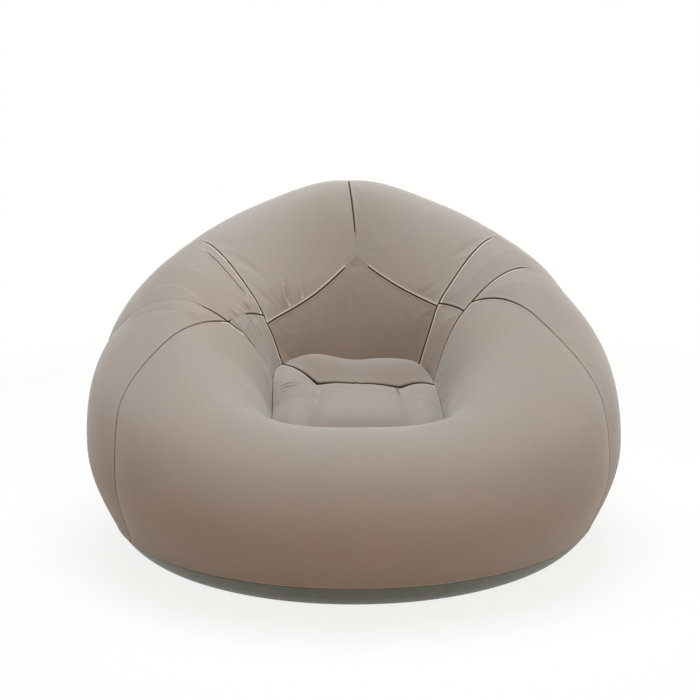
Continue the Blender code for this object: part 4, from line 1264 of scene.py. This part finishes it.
def seen_rays(tree):
    """1 for rays that show the surface itself: straight, mirrored or refracted."""
    path = tree.nodes.new("ShaderNodeLightPath")
    seen = math_node(tree, "MAXIMUM", path.outputs["Is Camera Ray"], path.outputs["Is Glossy Ray"])
    return math_node(tree, "MAXIMUM", seen, path.outputs["Is Transmission Ray"])


floor_mesh = bpy.data.meshes.new("floor")
floor_mesh.from_pydata([(-40, -40, 0), (40, -40, 0), (40, 40, 0), (-40, 40, 0)], [], [(0, 1, 2, 3)])
floor = linked("floor", floor_mesh)
floor.location.z = -0.0005
material, tree, shader = new_material("floor_look")
seen = seen_rays(tree)
place = tree.nodes.new("ShaderNodeTexCoord").outputs["Object"]
from_middle = tree.nodes.new("ShaderNodeVectorMath")
from_middle.operation = "LENGTH"
tree.links.new(place, from_middle.inputs[0])
near = tree.nodes.new("ShaderNodeMapRange")
near.interpolation_type = "SMOOTHSTEP"
reach = {"From Min": SHADOW_REACH[0], "From Max": SHADOW_REACH[1], "To Min": SHADOW_SHARE, "To Max": 0.0}
set_inputs(near, reach)
tree.links.new(from_middle.outputs["Value"], near.inputs["Value"])
shadow = near.outputs["Result"]
shade = mixed(tree, "MIX", shadow, (0.0, 0.0, 0.0, 1.0), BACKDROP)
tree.links.new(mixed(tree, "MIX", seen, FLOOR_GREY, shade), shader.inputs["Base Color"])
set_inputs(shader, {"Roughness": 0.9, "Specular IOR Level": 0.0, "Emission Color": BACKDROP})
glow = math_node(tree, "SUBTRACT", 1.0, shadow)
tree.links.new(math_node(tree, "MULTIPLY", seen, glow), shader.inputs["Emission Strength"])
floor_mesh.materials.append(material)

# The world: white where it is seen, and as a light a low pale wall behind and beside the chair
WALL_LIGHT = (0.95, 0.99, 1.0, 1.0)
world = bpy.data.worlds.new("studio")
bpy.context.scene.world = world
world.use_nodes = True
tree = world.node_tree
background = tree.nodes["Background"]
seen = seen_rays(tree)
place = tree.nodes.new("ShaderNodeTexCoord").outputs["Generated"]
split = tree.nodes.new("ShaderNodeSeparateXYZ")
tree.links.new(place, split.inputs[0])
band = ramp(
    tree,
    split.outputs["Z"],
    [(0.0, grey(0.0)), (0.01, grey(1.0)), (0.26, grey(1.0)), (0.34, grey(0.02)), (1.0, grey(0.02))],
)
behind = math_node(tree, "MULTIPLY_ADD", split.outputs["Y"], 3.0, 3.0)
behind = math_node(tree, "MINIMUM", behind, 3.9)
wall = math_node(tree, "MULTIPLY_ADD", split.outputs["X"], 0.6, behind)
strength = math_node(tree, "MAXIMUM", math_node(tree, "MULTIPLY", wall, band), 0.0)
tree.links.new(mixed(tree, "MIX", seen, WALL_LIGHT, BACKDROP), background.inputs["Color"])
tree.links.new(mixed(tree, "MIX", seen, strength, grey(1.0)), background.inputs["Strength"])


LOOKED_AT = Vector((0.0, 0.0, 0.30))


def aimed(name, data, place):
    """An object at a place, turned to the chair's middle."""
    thing = linked(name, data)
    thing.location = place
    thing.rotation_euler = (LOOKED_AT - Vector(place)).to_track_quat("-Z", "Y").to_euler()
    return thing


def area_light(name, place, size, power, colour):
    lamp = bpy.data.lights.new(name, "AREA")
    lamp.shape = "RECTANGLE"
    lamp.size, lamp.size_y = size
    lamp.energy = power
    lamp.color = colour
    aimed(name, lamp, place)


area_light("top_softbox", (0.0, -0.5, 2.6), (2.0, 1.6), 31.5, (0.80, 0.93, 1.0))
area_light("rear_softbox", (0.0, 0.6, 2.6), (2.0, 1.2), 46.0, (0.71, 0.89, 1.0))
area_light("front_fill", (0.0, -3.0, 1.6), (2.0, 1.2), 19.0, (1.0, 0.70, 0.45))

# The camera, with the point that it looks at shifted to where the photograph has it, in pixels
FOCAL, FRAME_PIXELS = 1479.0, 700.0
AT_PIXEL = (354.0, 391.0)
ELEVATION, AZIMUTH, DISTANCE = math.radians(14.0), math.radians(-2.0), 3.0
camera_data = bpy.data.cameras.new("camera")
camera_data.sensor_width = 36.0
camera_data.lens = FOCAL / FRAME_PIXELS * camera_data.sensor_width
camera_data.shift_x = (FRAME_PIXELS / 2 - AT_PIXEL[0]) / FRAME_PIXELS
camera_data.shift_y = (AT_PIXEL[1] - FRAME_PIXELS / 2) / FRAME_PIXELS
level = math.cos(ELEVATION)
back = Vector((math.sin(AZIMUTH) * level, -math.cos(AZIMUTH) * level, math.sin(ELEVATION)))
bpy.context.scene.camera = aimed("camera", camera_data, LOOKED_AT + back * DISTANCE)
bpy.context.scene.view_settings.view_transform = "Standard"
